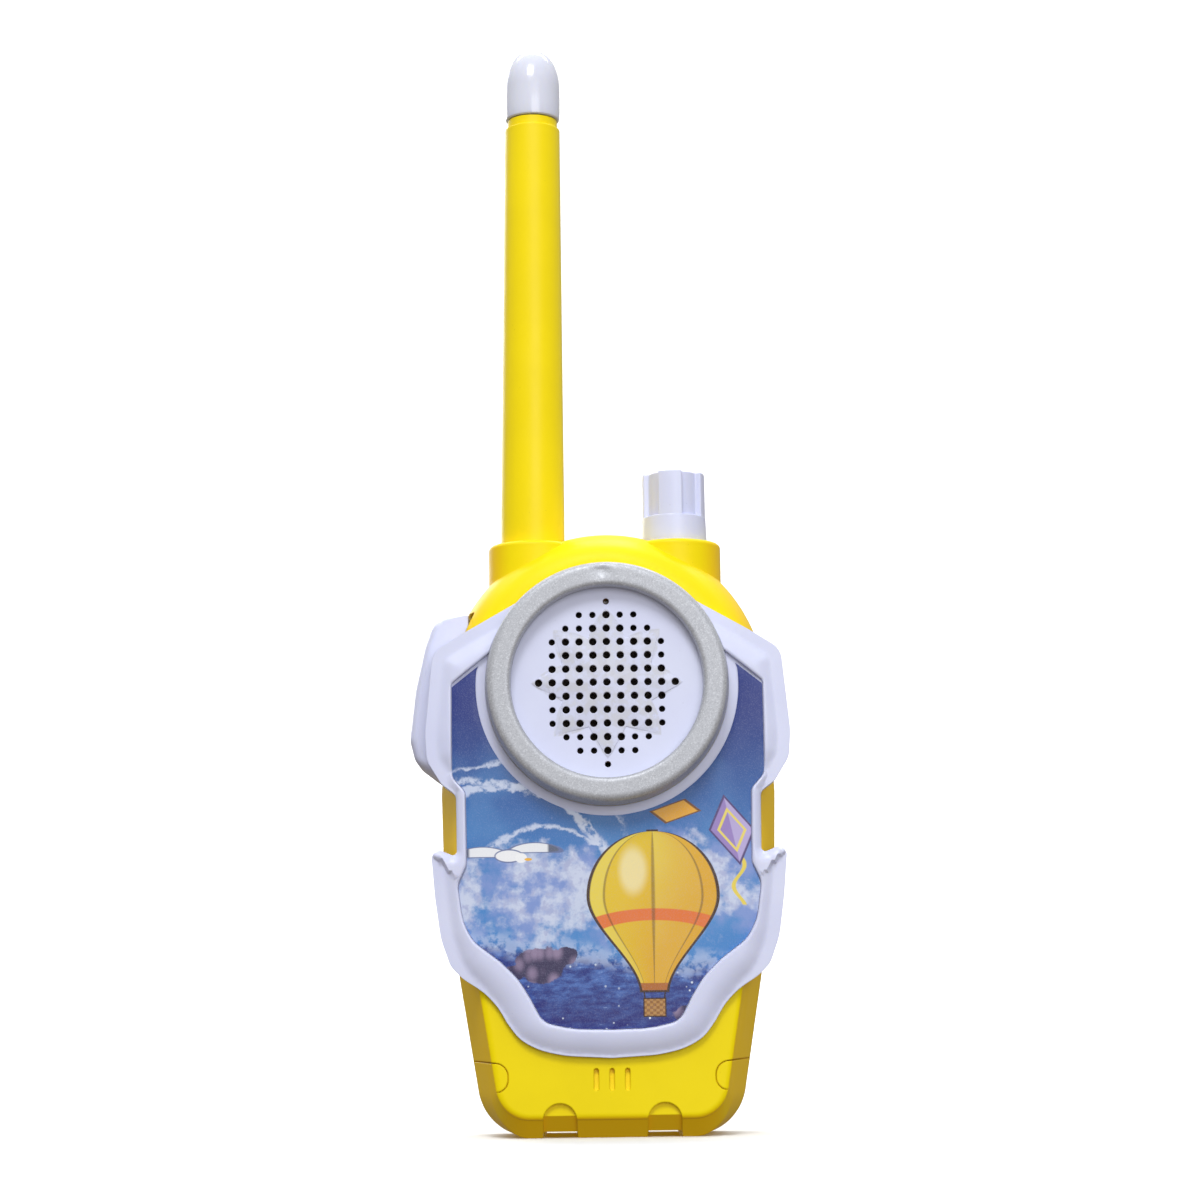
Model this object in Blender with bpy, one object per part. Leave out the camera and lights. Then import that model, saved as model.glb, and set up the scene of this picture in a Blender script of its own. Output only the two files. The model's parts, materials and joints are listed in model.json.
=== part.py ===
"""Toy walkie talkie: moulded shells, bezel, speaker, aerial, volume knob, talk bar, battery and belt clip."""

import math

import bmesh
import bpy
from mathutils import Vector
from mathutils.geometry import delaunay_2d_cdt

# ---------------------------------------------------------------- driving dimensions, in millimetres
# X is the width, Y the depth with the front at -Y, Z the height above the base.
FRONT_Y = -18.0
PARTING_Y = -5.0
REAR_Y = 13.0
WALL = 2.2
SPEAKER_Z = 88.4
DISC_R = 32.4
AERIAL_X = -14.45
KNOB_X = 14.25
BOSS_R = 9.4
BOSS_TOP = 118.7
AERIAL_TOP = 225.2
AERIAL_LEAN = 0.0075
RING_FACE_R = 23.6
RING_BASE_R = 24.15
RING_BORE_R = 19.0
RING_Y = -25.3
GRILLE_Y = -21.9
HOLE_PITCH = 2.7
HOLE_R = 0.62
STAR_HOLE_R = 0.76
BEZEL_Y = -20.4
PLATE_Y = -19.2
BEZEL_BACK_Y = -13.6
TALK_TRAVEL = 0.8
TALK_SIDE_X = -27.7
BOARD_Y = -11.5
BATTERY = (26.5, 17.5, 46.4)
CLIP_PIN = (18.0, 102.0)

COLOURS = {
    "yellow_plastic": ((0.90, 0.76, 0.03, 1), 0.0, 0.42),
    "white_plastic": ((0.70, 0.73, 0.90, 1), 0.0, 0.38),
    "cap_plastic": ((0.72, 0.74, 0.86, 1), 0.0, 0.16),
    "silver_paint": ((0.56, 0.57, 0.59, 1), 0.6, 0.42),
    "printed_label": ((0.16, 0.27, 0.58, 1), 0.0, 0.35),
    "steel": ((0.60, 0.61, 0.63, 1), 1.0, 0.3),
    "brass": ((0.75, 0.58, 0.28, 1), 1.0, 0.3),
    "cone_paper": ((0.10, 0.09, 0.08, 1), 0.0, 0.8),
    "foam": ((0.07, 0.07, 0.07, 1), 0.0, 0.95),
    "board": ((0.30, 0.21, 0.08, 1), 0.0, 0.5),
    "black_plastic": ((0.03, 0.03, 0.03, 1), 0.0, 0.45),
    "capacitor_sleeve": ((0.03, 0.05, 0.15, 1), 0.0, 0.4),
    "rubber": ((0.04, 0.04, 0.04, 1), 0.0, 0.85),
    "battery_jacket": ((0.10, 0.11, 0.13, 1), 0.3, 0.4),
    "wire_red": ((0.60, 0.04, 0.03, 1), 0.0, 0.5),
    "wire_black": ((0.03, 0.03, 0.03, 1), 0.0, 0.5),
}

for old in list(bpy.data.objects):
    bpy.data.objects.remove(old)


# ---------------------------------------------------------------- helpers
def material(slot):
    found = bpy.data.materials.get(slot)
    if found:
        return found
    colour, metallic, roughness = COLOURS[slot]
    made = bpy.data.materials.new(slot)
    made.use_nodes = True
    shader = made.node_tree.nodes["Principled BSDF"]
    shader.inputs["Base Color"].default_value = colour
    shader.inputs["Metallic"].default_value = metallic
    shader.inputs["Roughness"].default_value = roughness
    return made


def add(name, points, faces, slot=None):
    """A mesh object from millimetre points. Without a slot it is a hidden cutter."""
    mesh = bpy.data.meshes.new(name)
    mesh.from_pydata([(x / 1000, y / 1000, z / 1000) for x, y, z in points], [], faces)
    shape = bmesh.new()
    shape.from_mesh(mesh)
    bmesh.ops.recalc_face_normals(shape, faces=shape.faces)
    shape.to_mesh(mesh)
    shape.free()
    obj = bpy.data.objects.new(name, mesh)
    bpy.context.collection.objects.link(obj)
    if slot:
        mesh.materials.append(material(slot))
    else:
        obj.hide_render = True
        obj.display_type = "WIRE"
    return obj


def combine(obj, other, operation, solver="EXACT"):
    modifier = obj.modifiers.new(other.name, "BOOLEAN")
    modifier.operation = operation
    modifier.solver = solver
    modifier.object = other


def cut(obj, *others):
    for other in others:
        combine(obj, other, "DIFFERENCE")


def fuse(obj, *others):
    for other in others:
        combine(obj, other, "UNION")


def loft(rings):
    """Points and faces of a closed solid through rings of equal count, capped at both ends."""
    count = len(rings[0])
    points = [p for ring in rings for p in ring]
    faces = []
    for level in range(len(rings) - 1):
        for i in range(count):
            j = (i + 1) % count
            a = level * count
            b = a + count
            faces.append((a + i, a + j, b + j, b + i))
    faces.append(tuple(range(count)))
    last = (len(rings) - 1) * count
    faces.append(tuple(last + i for i in reversed(range(count))))
    return points, faces


def lathe(profile, axis, centre, steps, lean=0.0):
    """A closed profile of (radius, height) turned about an axis. A radius of 0 makes a pole."""
    points = []
    rows = []
    for radius, height in profile:
        around = 1 if radius == 0 else steps
        rows.append((len(points), around))
        for i in range(around):
            turn = 2 * math.pi * (i + 0.5) / steps
            u = radius * math.cos(turn)
            v = radius * math.sin(turn)
            if axis == "Z":
                points.append((centre[0] + u + lean * height, centre[1] + v, height))
            elif axis == "Y":
                points.append((centre[0] + u, height, centre[1] + v))
            else:
                points.append((height, centre[0] + u, centre[1] + v))
    faces = []
    pairs = list(zip(rows, rows[1:]))
    if rows[0][1] > 1:
        pairs.append((rows[-1], rows[0]))
    for (a, an), (b, bn) in pairs:
        for i in range(steps):
            j = (i + 1) % steps
            if an == 1 and bn > 1:
                faces.append((a, b + i, b + j))
            elif bn == 1 and an > 1:
                faces.append((a + i, a + j, b))
            elif an > 1:
                faces.append((a + i, a + j, b + j, b + i))
    return points, faces


def rod(radius, low, high):
    return [(0, low), (radius, low), (radius, high), (0, high)]


def pipe(inner, outer, low, high):
    return [(inner, low), (outer, low), (outer, high), (inner, high)]


def box(x0, x1, y0, y1, z0, z1):
    ring = [(x0, y0), (x1, y0), (x1, y1), (x0, y1)]
    return loft([[(x, y, z) for x, y in ring] for z in (z0, z1)])


def prism(outline, y0, y1):
    return loft([[(x, y, z) for x, z in outline] for y in (y0, y1)])


def side_prism(outline, x0, x1):
    return loft([[(x, y, z) for y, z in outline] for x in (x0, x1)])


def many(*shapes):
    """Several separate solids as one mesh."""
    points = []
    faces = []
    for more, sides in shapes:
        start = len(points)
        points += more
        faces += [tuple(start + i for i in side) for side in sides]
    return points, faces


def rounded(corners, step=15):
    """A closed outline whose corners (x, z, radius) are rounded with an edge every few degrees."""
    outline = []
    for k, (x, z, radius) in enumerate(corners):
        here = Vector((x, z))
        before = Vector(corners[k - 1][:2]) - here
        after = Vector(corners[(k + 1) % len(corners)][:2]) - here
        half = before.angle(after) / 2
        if radius == 0 or half > 1.5:
            outline.append((x, z))
            continue
        reach = min(radius / math.tan(half), 0.48 * before.length, 0.48 * after.length)
        radius = reach * math.tan(half)
        start = here + before.normalized() * reach
        end = here + after.normalized() * reach
        middle = here + (before.normalized() + after.normalized()).normalized() * (
            radius / math.sin(half)
        )
        total = math.pi - 2 * half
        parts = max(1, round(math.degrees(total) / step))
        a = start - middle
        sign = 1 if a.x * (end - middle).y - a.y * (end - middle).x > 0 else -1
        for i in range(parts + 1):
            turn = sign * total * i / parts
            outline.append(
                (
                    middle.x + a.x * math.cos(turn) - a.y * math.sin(turn),
                    middle.y + a.x * math.sin(turn) + a.y * math.cos(turn),
                )
            )
    return outline


def mirrored(half):
    """A whole outline from its right half, which runs from the bottom of the middle line to the top."""
    left = [(-x, z, *rest) for x, z, *rest in reversed(half) if x > 0.01]
    return half + left


def normals(outline):
    """Outward unit normals of a counter-clockwise outline."""
    found = []
    for k in range(len(outline)):
        before = Vector(outline[k - 1])
        after = Vector(outline[(k + 1) % len(outline)])
        along = (after - before).normalized()
        found.append((along.y, -along.x))
    return found


def between(table, y):
    """Linear interpolation in a table of (y, value)."""
    if y <= table[0][0]:
        return table[0][1]
    for (y0, v0), (y1, v1) in zip(table, table[1:]):
        if y <= y1:
            return v0 + (v1 - v0) * (y - y0) / (y1 - y0)
    return table[-1][1]


def smooth(low, high, value):
    t = min(max((value - low) / (high - low), 0), 1)
    return t * t * (3 - 2 * t)


# ---------------------------------------------------------------- outlines (x, z)
CASE_HALF = [
    (0, 0, 0),
    (25.1, 0, 10.6),
    (30.2, 31, 60),
    (33.4, 56, 40),
    (33.7, 68, 40),
    (33.1, 80, 60),
]
CASE = rounded(mirrored(CASE_HALF + [(32.4, 88.4, 0)]), 12)
CASE_LOW = [p for p in CASE if p[1] < 88.3]
CASE_RIGHT = [p for p in CASE_LOW if p[0] > -0.001]
CASE_LEFT = [p for p in CASE_LOW if p[0] < -0.001]
CROWN = [
    (DISC_R * math.cos(math.radians(a)), SPEAKER_Z + DISC_R * math.sin(math.radians(a)))
    for a in range(0, 181, 9)
]
CASE_OUTLINE = CASE_RIGHT + CROWN + CASE_LEFT

BEZEL_HALF = [
    (0, 15.3, 0),
    (9.0, 15.8, 20),
    (14.0, 16.9, 14),
    (17.9, 19.0, 8),
    (20.3, 22.3, 14),
    (22.0, 25.3, 12),
    (24.7, 28.2, 12),
    (28.8, 30.8, 8),
    (31.2, 33.2, 5),
    (33.1, 38.6, 12),
    (34.2, 46.5, 40),
    (35.1, 56.8, 1.6),
    (29.9, 54.5, 0.8),
    (30.05, 66.8, 2.0),
    (32.9, 68.9, 4),
    (35.8, 73.6, 5),
    (36.15, 79.0, 14),
    (34.6, 95.1, 4.0),
    (28.6, 98.9, 20),
    (12.0, 108.3, 0),
    (0, 108.3, 0),
]
BEZEL_OUTLINE = rounded(mirrored(BEZEL_HALF), 20)

LABEL_HALF = [
    (0, 20.7, 0),
    (7.5, 20.9, 12),
    (13.3, 22.2, 4),
    (15.7, 26.8, 12),
    (18.0, 30.6, 12),
    (21.6, 34.1, 12),
    (26.8, 38.0, 7),
    (28.8, 41.8, 10),
    (29.8, 49.0, 4),
    (28.0, 52.9, 2.5),
    (28.2, 67.3, 2.0),
    (30.9, 70.3, 3.0),
    (30.9, 88.2, 0.6),
]
LABEL_TOP = (25.6, 92.4)
RECESS_TOP = [(30.7, 88.9, 0.4), (22.0, 95.9, 0), (0, 95.9, 0)]
RECESS_OUTLINE = rounded(mirrored(LABEL_HALF + RECESS_TOP), 20)

TALK_OUTLINE = rounded(
    [
        (TALK_SIDE_X, 103.9, 0.5),
        (-34.6, 103.1, 3.6),
        (-36.6, 97.5, 10),
        (-38.6, 88.4, 20),
        (-39.7, 78.6, 4),
        (-38.6, 74.0, 4),
        (-33.6, 70.2, 1.5),
        (TALK_SIDE_X, 70.2, 0.5),
    ],
    20,
)


# ---------------------------------------------------------------- the case as one solid, grown or shrunk
SIDE_TABLE = [
    (-18.2, 5.4),
    (-18.0, 5.1),
    (-17.8, 4.5),
    (-17.2, 3.9),
    (-5.0, 0.0),
    (6.0, 0.4),
    (10.0, 0.9),
    (12.0, 1.8),
    (13.0, 3.3),
]
BOTTOM_TABLE = [
    (-18.2, 4.9),
    (-18.0, 4.7),
    (-17.8, 4.1),
    (-17.2, 3.5),
    (-13.6, 0.0),
    (9.5, 0.0),
    (11.5, 0.7),
    (12.5, 1.8),
    (13.0, 3.2),
]


def dome(y):
    """How far the round top has come in at this depth."""
    part = min(max((PARTING_Y - y) / 12.6, 0), 1)
    return 7.8 * (1 - math.sqrt(1 - part * part))


def case_ring(y, shrink):
    ring = []
    side = between(SIDE_TABLE, y)
    bottom = between(BOTTOM_TABLE, y)
    for (x, z), (nx, nz) in zip(CASE_OUTLINE, normals(CASE_OUTLINE)):
        top = smooth(72, 90, z) if y < PARTING_Y else 0
        inward = side * (1 - top) + dome(y) * top
        down = bottom if nz < 0 and z < 40 else inward
        ring.append((x - nx * (inward + shrink), y, z - nz * (down + shrink)))
    return ring


def case_solid(shrink, front, rear):
    levels = [-17.8, -17.2, -15.4, -13.6, -11.5, -9, -5, 6, 9.5, 11.5, 12.5]
    inside = [y for y in levels if front + 0.15 < y < rear - 0.15]
    return loft([case_ring(y, shrink) for y in [front, *inside, rear]])


def boss(x, radius, low, high, edge):
    return lathe(
        [(0, low), (radius, low), (radius, high - edge), (radius - edge, high), (0, high)],
        "Z",
        (x, PARTING_Y),
        20,
    )


# ---------------------------------------------------------------- front and rear shells
def shell(name):
    """One closed case. The caller cuts it at the parting plane."""
    obj = add(name, *case_solid(0, FRONT_Y, REAR_Y), "yellow_plastic")
    for side, x in (("aerial", AERIAL_X), ("knob", KNOB_X)):
        fuse(obj, add(f"{name}_{side}_boss", *boss(x, BOSS_R, 98, BOSS_TOP, 0.9)))
    return obj


def hollow(obj):
    name = obj.name
    space = add(f"{name}_space", *case_solid(WALL, FRONT_Y + 2, REAR_Y - 2))
    combine(obj, space, "DIFFERENCE", "MANIFOLD")
    for side, x in (("aerial", AERIAL_X), ("knob", KNOB_X)):
        cut(obj, add(f"{name}_{side}_space", *boss(x, BOSS_R - 2, 99, BOSS_TOP - 2, 0.3)))


def top_holes(obj):
    name = obj.name
    aerial = lathe(rod(6.7, 110, 125), "Z", (AERIAL_X - 0.35, PARTING_Y), 24)
    knob_seat = [(0, 110), (3.7, 110), (3.7, BOSS_TOP - 0.05), (7.0, BOSS_TOP - 0.05), (7.0, 126), (0, 126)]
    knob = lathe(knob_seat, "Z", (KNOB_X, PARTING_Y), 24)
    cut(obj, add(f"{name}_top_holes", *many(aerial, knob)))
    slot = box(-50, TALK_SIDE_X + TALK_TRAVEL + 0.3, -12.7, 3.4, 69.8, 104.3)
    cut(obj, add(f"{name}_talk_slot", *slot))


CASE_SCREWS = [(-22.8, 100.2), (22.8, 100.2), (-20.3, 13.5), (20.3, 13.5)]
BOARD_SCREWS = [(-16.7, 57.0), (16.7, 57.0)]
CLAMP_ANGLES = (90, 210, 330)
CLAMP_SCREWS = [
    (21.2 * math.cos(math.radians(a)), SPEAKER_Z + 21.2 * math.sin(math.radians(a)))
    for a in CLAMP_ANGLES
]

front_shell = shell("front_shell")


def arch(x):
    top = [
        (x + 3.3 * math.cos(math.radians(a)), 3.45 + 3.3 * math.sin(math.radians(a)))
        for a in range(0, 181, 20)
    ]
    return [(x - 3.3, -2), (x + 3.3, -2)] + top


arches = many(prism(arch(-10.2), -30, -5.5), prism(arch(10.2), -30, -5.5))
cut(front_shell, add("foot_arches", *arches))
fuse(front_shell, add("foot_arch_floor", *case_solid(0.9, FRONT_Y + 0.9, REAR_Y - 3)))
cut(front_shell, add("front_only", *box(-60, 60, PARTING_Y - 0.05, 60, -20, 160)))


def mic_slot(x):
    low = [(x - 0.5, y, z) for y, z in ((-17.0, 13.3), (-20, 13.3), (-20, 9.0))]
    high = [(x + 0.5, y, z) for y, z in ((-17.0, 13.3), (-20, 13.3), (-20, 9.0))]
    foot = [(x - 0.5, -17.7, 9.0), (x + 0.5, -17.7, 9.0)]
    return loft([low + [foot[0]], high + [foot[1]]])


cut(front_shell, add("mic_slots", *many(mic_slot(-3.05), mic_slot(0), mic_slot(3.05))))


def groove_floor(x):
    """Depth of the groove's floor, which follows the flank outwards."""
    return -17.4 + 2.65 * max(0, x - 22.6)


def tab_groove(side):
    """A shallow groove round the tongue on the flank: in along its top and back along its foot."""
    outer = [(32, 15.2), (24.6, 14.6), (22.0, 14.2), (20.5, 12.0), (21.8, 9.6), (24.4, 9.2), (32, 9.1)]
    inner = [(32, 14.7), (24.6, 14.2), (22.3, 13.8), (21.0, 12.0), (22.0, 10.0), (24.5, 9.6), (32, 9.5)]
    rings = []
    for (x0, z0), (x1, z1) in zip(outer, inner):
        top = [(side * x0, -30, z0), (side * x1, -30, z1)]
        rings.append(top + [(side * x1, groove_floor(x1), z1), (side * x0, groove_floor(x0), z0)])
    return loft(rings)


cut(front_shell, add("tab_grooves", *many(tab_groove(-1), tab_groove(1))))

hollow(front_shell)
seat = lathe(rod(24.3, -19.1, -16.5), "Y", (0, SPEAKER_Z), 36)
fuse(front_shell, add("speaker_seat", *seat))
front_posts = [lathe(rod(2.8, -15.4, PARTING_Y - 0.1), "Y", p, 8) for p in CASE_SCREWS]
front_posts += [lathe(rod(2.4, -17, BOARD_Y - 0.1), "Y", p, 8) for p in BOARD_SCREWS]
fuse(front_shell, add("front_posts", *many(*front_posts)))
speaker_bore = lathe(
    [(0, -20), (17.2, -20), (17.2, -18.2), (19.6, -18.2), (19.6, -10), (0, -10)],
    "Y",
    (0, SPEAKER_Z),
    28,
)
cut(front_shell, add("speaker_bore", *speaker_bore))
pilots = [lathe(rod(1.4, -13, 0), "Y", p, 6) for p in CASE_SCREWS]
pilots += [lathe(rod(1.15, -15.5, 0), "Y", p, 6) for p in BOARD_SCREWS]
pilots += [lathe(rod(1.05, -18.0, 0), "Y", p, 6) for p in CLAMP_SCREWS]
cut(front_shell, add("front_pilots", *many(*pilots)))
top_holes(front_shell)


rear_shell = shell("rear_shell")
cut(rear_shell, add("rear_only", *box(-60, 60, -60, PARTING_Y + 0.05, -20, 160)))
hollow(rear_shell)
bay_block = box(-15.6, 15.6, -8.1, 12.0, 5.4, 61.6)
bay_ledge = box(-19.2, 19.2, 9.2, 12.0, 3.4, 70.0)
fuse(rear_shell, add("bay_block", *bay_block))
fuse(rear_shell, add("bay_ledge", *bay_ledge))
DOOR_SCREWS = [(-11.0, 64.9), (11.0, 64.9)]
BRACKET_SCREWS = [(0.0, 93.6), (0.0, 109.4)]
rear_posts = [lathe(rod(4.3, PARTING_Y + 0.1, 12.0), "Y", p, 10) for p in CASE_SCREWS]
rear_posts += [lathe(rod(3.2, 3.0, 10.5), "Y", p, 8) for p in DOOR_SCREWS]
rear_posts += [lathe(rod(3.2, 4.5, 12.0), "Y", p, 8) for p in BRACKET_SCREWS]
fuse(rear_shell, add("rear_posts", *many(*rear_posts)))
cut(rear_shell, add("bay_space", *box(-14, 14, -6.5, 30, 7.0, 60.0)))
cut(rear_shell, add("door_rebate", *box(-16.1, 16.1, 11.25, 30, 5.3, 68.6)))
cut(rear_shell, add("lead_notch", *box(-5.5, 5.5, -5.6, -1.5, 58, 66)))
rear_bores = []
for p in CASE_SCREWS:
    rear_bores.append(lathe(rod(2.9, 4.0, 30), "Y", p, 12))
cut(rear_shell, add("screw_wells", *many(*rear_bores)))
rear_bores = [lathe(rod(1.6, -20, 6.0), "Y", p, 6) for p in CASE_SCREWS]
rear_bores += [lathe(rod(1.2, 5.0, 12.0), "Y", p, 6) for p in DOOR_SCREWS]
rear_bores += [lathe(rod(1.2, 6.5, 14.0), "Y", p, 6) for p in BRACKET_SCREWS]
cut(rear_shell, add("rear_pilots", *many(*rear_bores)))
top_holes(rear_shell)


# ---------------------------------------------------------------- bezel and label
def nearest(outline, x, z):
    """(distance, z of the nearest point) from a point to an outline."""
    best = (1e9, 0)
    here = Vector((x, z))
    for k in range(len(outline)):
        a = Vector(outline[k - 1])
        along = Vector(outline[k]) - a
        t = min(max((here - a).dot(along) / max(along.length_squared, 1e-12), 0), 1)
        point = a + along * t
        gap = (here - point).length
        if gap < best[0]:
            best = (gap, point.y)
    return best


def bezel_depth(x, z):
    """Depth of the bezel's face: it rolls down towards its outer edge, less on the face and the bars."""
    gap, edge_z = nearest(BEZEL_OUTLINE, x, z)
    free = smooth(27, 34, edge_z)
    bar = smooth(52, 55.5, edge_z) * (1 - smooth(66, 70, edge_z))
    drop = (2.0 + 2.4 * free) * (1 - bar) + 1.3 * bar
    width = (3.6 + 1.9 * free) * (1 - bar) + 1.6 * bar
    part = 1 - min(gap / width, 1)
    return BEZEL_Y + drop * (1 - math.sqrt(1 - part * part))


def field_solid(outline, spacing, depth, back):
    """A solid between a flat back and a front whose depth is a function of (x, z)."""
    xs = [p[0] for p in outline]
    zs = [p[1] for p in outline]
    seeds = [Vector(p) for p in outline]
    count = len(seeds)
    x = min(xs)
    while x < max(xs):
        z = min(zs)
        while z < max(zs):
            gap, _ = nearest(outline, x, z)
            if gap > 0.4 * spacing:
                seeds.append(Vector((x, z)))
            z += spacing
        x += spacing
    edges = [(i, (i + 1) % count) for i in range(count)]
    flat, _, sides, _, _, _ = delaunay_2d_cdt(seeds, edges, [], 1, 1e-5)
    used = sorted({i for side in sides for i in side})
    place = {old: new for new, old in enumerate(used)}
    faces = [tuple(place[i] for i in side) for side in sides]
    flat = [flat[i] for i in used]
    total = len(flat)
    points = [(p.x, depth(p.x, p.y), p.y) for p in flat]
    points += [(p.x, back, p.y) for p in flat]
    loops = {}
    for side in faces:
        for k in range(len(side)):
            a = side[k]
            b = side[(k + 1) % len(side)]
            loops[(a, b)] = True
    rim = [(a, b) for a, b in loops if (b, a) not in loops]
    backs = [tuple(total + i for i in reversed(side)) for side in faces]
    walls = [(b, a, a + total, b + total) for a, b in rim]
    return points, faces + backs + walls


front_bezel = add(
    "front_bezel", *field_solid(BEZEL_OUTLINE, 2.6, bezel_depth, BEZEL_BACK_Y), "white_plastic"
)
cut(front_bezel, add("label_recess", *prism(RECESS_OUTLINE, -30, PLATE_Y)))
ring_clearance = lathe(rod(RING_BASE_R + 0.3, -30, -10), "Y", (0, SPEAKER_Z), 40)
cut(front_bezel, add("ring_clearance", *ring_clearance))
cut(front_bezel, add("case_clearance", *case_solid(-0.2, FRONT_Y - 0.2, 0)))
for side, x in (("aerial", AERIAL_X), ("knob", KNOB_X)):
    cut(front_bezel, add(f"{side}_boss_clearance", *boss(x, BOSS_R + 0.3, 90, 125, 0.9)))

label_low = rounded(mirrored(LABEL_HALF + [(*LABEL_TOP, 0)]), 20)
split = [k for k, p in enumerate(label_low) if abs(p[0] - LABEL_TOP[0]) < 0.01 and p[1] > 92]
LABEL_ARC_R = 25.95
arc_from = math.degrees(math.atan2(LABEL_TOP[1] - SPEAKER_Z, LABEL_TOP[0]))
arc_steps = 22
arc = []
for i in range(1, arc_steps):
    turn = math.radians(arc_from - (180 + 2 * arc_from) * i / arc_steps)
    arc.append((LABEL_ARC_R * math.cos(turn), SPEAKER_Z + LABEL_ARC_R * math.sin(turn)))
start = split[0] + 1
LABEL_OUTLINE = label_low[:start] + arc + label_low[start:]


def shrunk(outline, by):
    return [
        (x - nx * by, z - nz * by) for (x, z), (nx, nz) in zip(outline, normals(outline))
    ]


add(
    "picture_label",
    *prism(shrunk(LABEL_OUTLINE, 0.12), PLATE_Y - 0.38, PLATE_Y - 0.08),
    "printed_label",
)

# ---------------------------------------------------------------- speaker
ring_profile = [
    (RING_BORE_R, -24.6),
    (RING_BORE_R + 0.6, RING_Y),
    (RING_FACE_R - 0.7, RING_Y),
    (RING_FACE_R, -24.6),
    (RING_BASE_R, -19.3),
    (20.7, -19.3),
    (20.7, -22.1),
    (RING_BORE_R, -22.1),
]
add("speaker_ring", *lathe(ring_profile, "Y", (0, SPEAKER_Z), 40), "silver_paint")

grille = add(
    "speaker_grille",
    *lathe(rod(20.4, GRILLE_Y, -19.85), "Y", (0, SPEAKER_Z), 36),
    "white_plastic",
)


def star():
    """A low eight-pointed star: a ridge to each point and a valley between them."""
    base = []
    for k in range(16):
        turn = math.radians(22.5 * k)
        reach = 9.45 if k % 2 else (15.2 if k % 4 == 0 else 14.6)
        base.append((reach * math.cos(turn), SPEAKER_Z + reach * math.sin(turn)))
    points = [(x, GRILLE_Y - 0.15, z) for x, z in base]
    points += [(x, GRILLE_Y + 0.8, z) for x, z in base]
    points += [(0, GRILLE_Y - 0.75, SPEAKER_Z)]
    points += [(0, GRILLE_Y + 0.8, SPEAKER_Z)]
    faces = []
    for k in range(16):
        n = (k + 1) % 16
        faces.append((k, n, 32))
        faces.append((16 + k, 16 + n, 33))
        faces.append((k, n, 16 + n, 16 + k))
    return points, faces


fuse(grille, add("grille_star", *star()))
ROWS = {0: 5, 1: 4, 2: 4, 3: 4, 4: 3, 5: 2, 6: 0}


def on_star(x, z):
    reach = math.hypot(x, z)
    turn = math.degrees(math.atan2(z, x)) % 45
    turn = min(turn, 45 - turn)
    low = 9.45
    tip = 15.0
    edge = tip + (low - tip) * turn / 22.5
    return reach < edge


def hexagon(x, z, radius):
    turns = [math.radians(11 + 60 * k) for k in range(6)]
    return [(x + radius * math.cos(t), z + radius * math.sin(t)) for t in turns]


holes = []
for row in range(-6, 7):
    for column in range(-ROWS[abs(row)], ROWS[abs(row)] + 1):
        x = column * HOLE_PITCH
        z = row * HOLE_PITCH
        radius = STAR_HOLE_R if on_star(x, z) else HOLE_R
        holes.append(prism(hexagon(x, SPEAKER_Z + z, radius), -30, -15))
combine(grille, add("grille_holes", *many(*holes)), "DIFFERENCE", "MANIFOLD")

add("speaker_gasket", *lathe(pipe(17.3, 19.2, -19.75, -19.2), "Y", (0, SPEAKER_Z), 16), "foam")
pan_profile = [
    (0, -14.1),
    (11.7, -14.1),
    (16.3, -17.9),
    (17.0, -18.1),
    (18.9, -18.1),
    (18.9, -17.3),
    (16.6, -17.3),
    (12.0, -13.5),
    (0, -13.5),
]
add("speaker_frame", *lathe(pan_profile, "Y", (0, SPEAKER_Z), 20), "steel")
cone_profile = [
    (0, -16.3),
    (3.0, -16.0),
    (5.0, -15.2),
    (14.0, -17.7),
    (15.4, -17.75),
    (15.4, -18.05),
    (13.8, -18.1),
    (5.0, -15.6),
    (3.2, -16.4),
    (0, -16.7),
]
add("speaker_cone", *lathe(cone_profile, "Y", (0, SPEAKER_Z), 20), "cone_paper")
add("speaker_magnet", *lathe(rod(9.0, -13.4, -12.0), "Y", (0, SPEAKER_Z), 16), "steel")
clamp_profile = [
    (16.95, -15.9),
    (16.95, -17.2),
    (19.3, -17.2),
    (19.3, -15.9),
    (22.6, -15.9),
    (22.6, -14.9),
    (16.95, -14.9),
]
clamp = add("speaker_clamp", *lathe(clamp_profile, "Y", (0, SPEAKER_Z), 20), "black_plastic")
clamp_holes = [lathe(rod(1.3, -20, -10), "Y", p, 6) for p in CLAMP_SCREWS]
cut(clamp, add("clamp_holes", *many(*clamp_holes)))


def screw(name, place, head_y, tip_y, head_r, shank_r):
    """A pan-head cross-drive screw along Y whose head faces the rear."""
    x, z = place
    profile = [
        (0, tip_y),
        (shank_r * 0.3, tip_y),
        (shank_r, tip_y + 1.6 * shank_r),
        (shank_r, head_y),
        (head_r, head_y),
        (head_r, head_y + 0.4 * head_r),
        (head_r * 0.72, head_y + 0.6 * head_r),
        (0, head_y + 0.62 * head_r),
    ]
    obj = add(name, *lathe(profile, "Y", place, 8), "steel")
    long = head_r * 0.6
    thin = head_r * 0.14
    low = head_y + 0.2 * head_r
    cross = [
        (-thin, -long),
        (thin, -long),
        (thin, -thin),
        (long, -thin),
        (long, thin),
        (thin, thin),
        (thin, long),
        (-thin, long),
        (-thin, thin),
        (-long, thin),
        (-long, -thin),
        (-thin, -thin),
    ]
    slot = prism([(x + u, z + v) for u, v in cross], low, head_y + head_r)
    cut(obj, add(f"{name}_cross", *slot))
    return obj


for number, place in enumerate(CLAMP_SCREWS, 1):
    screw(f"clamp_screw_{number}", place, -14.8, -17.6, 2.0, 0.9)
for number, place in enumerate(CASE_SCREWS, 1):
    screw(f"case_screw_{number}", place, 4.1, -12.0, 2.5, 1.2)
for number, place in enumerate(BOARD_SCREWS, 1):
    screw(f"board_screw_{number}", place, -9.8, -15.0, 2.0, 0.95)

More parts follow.
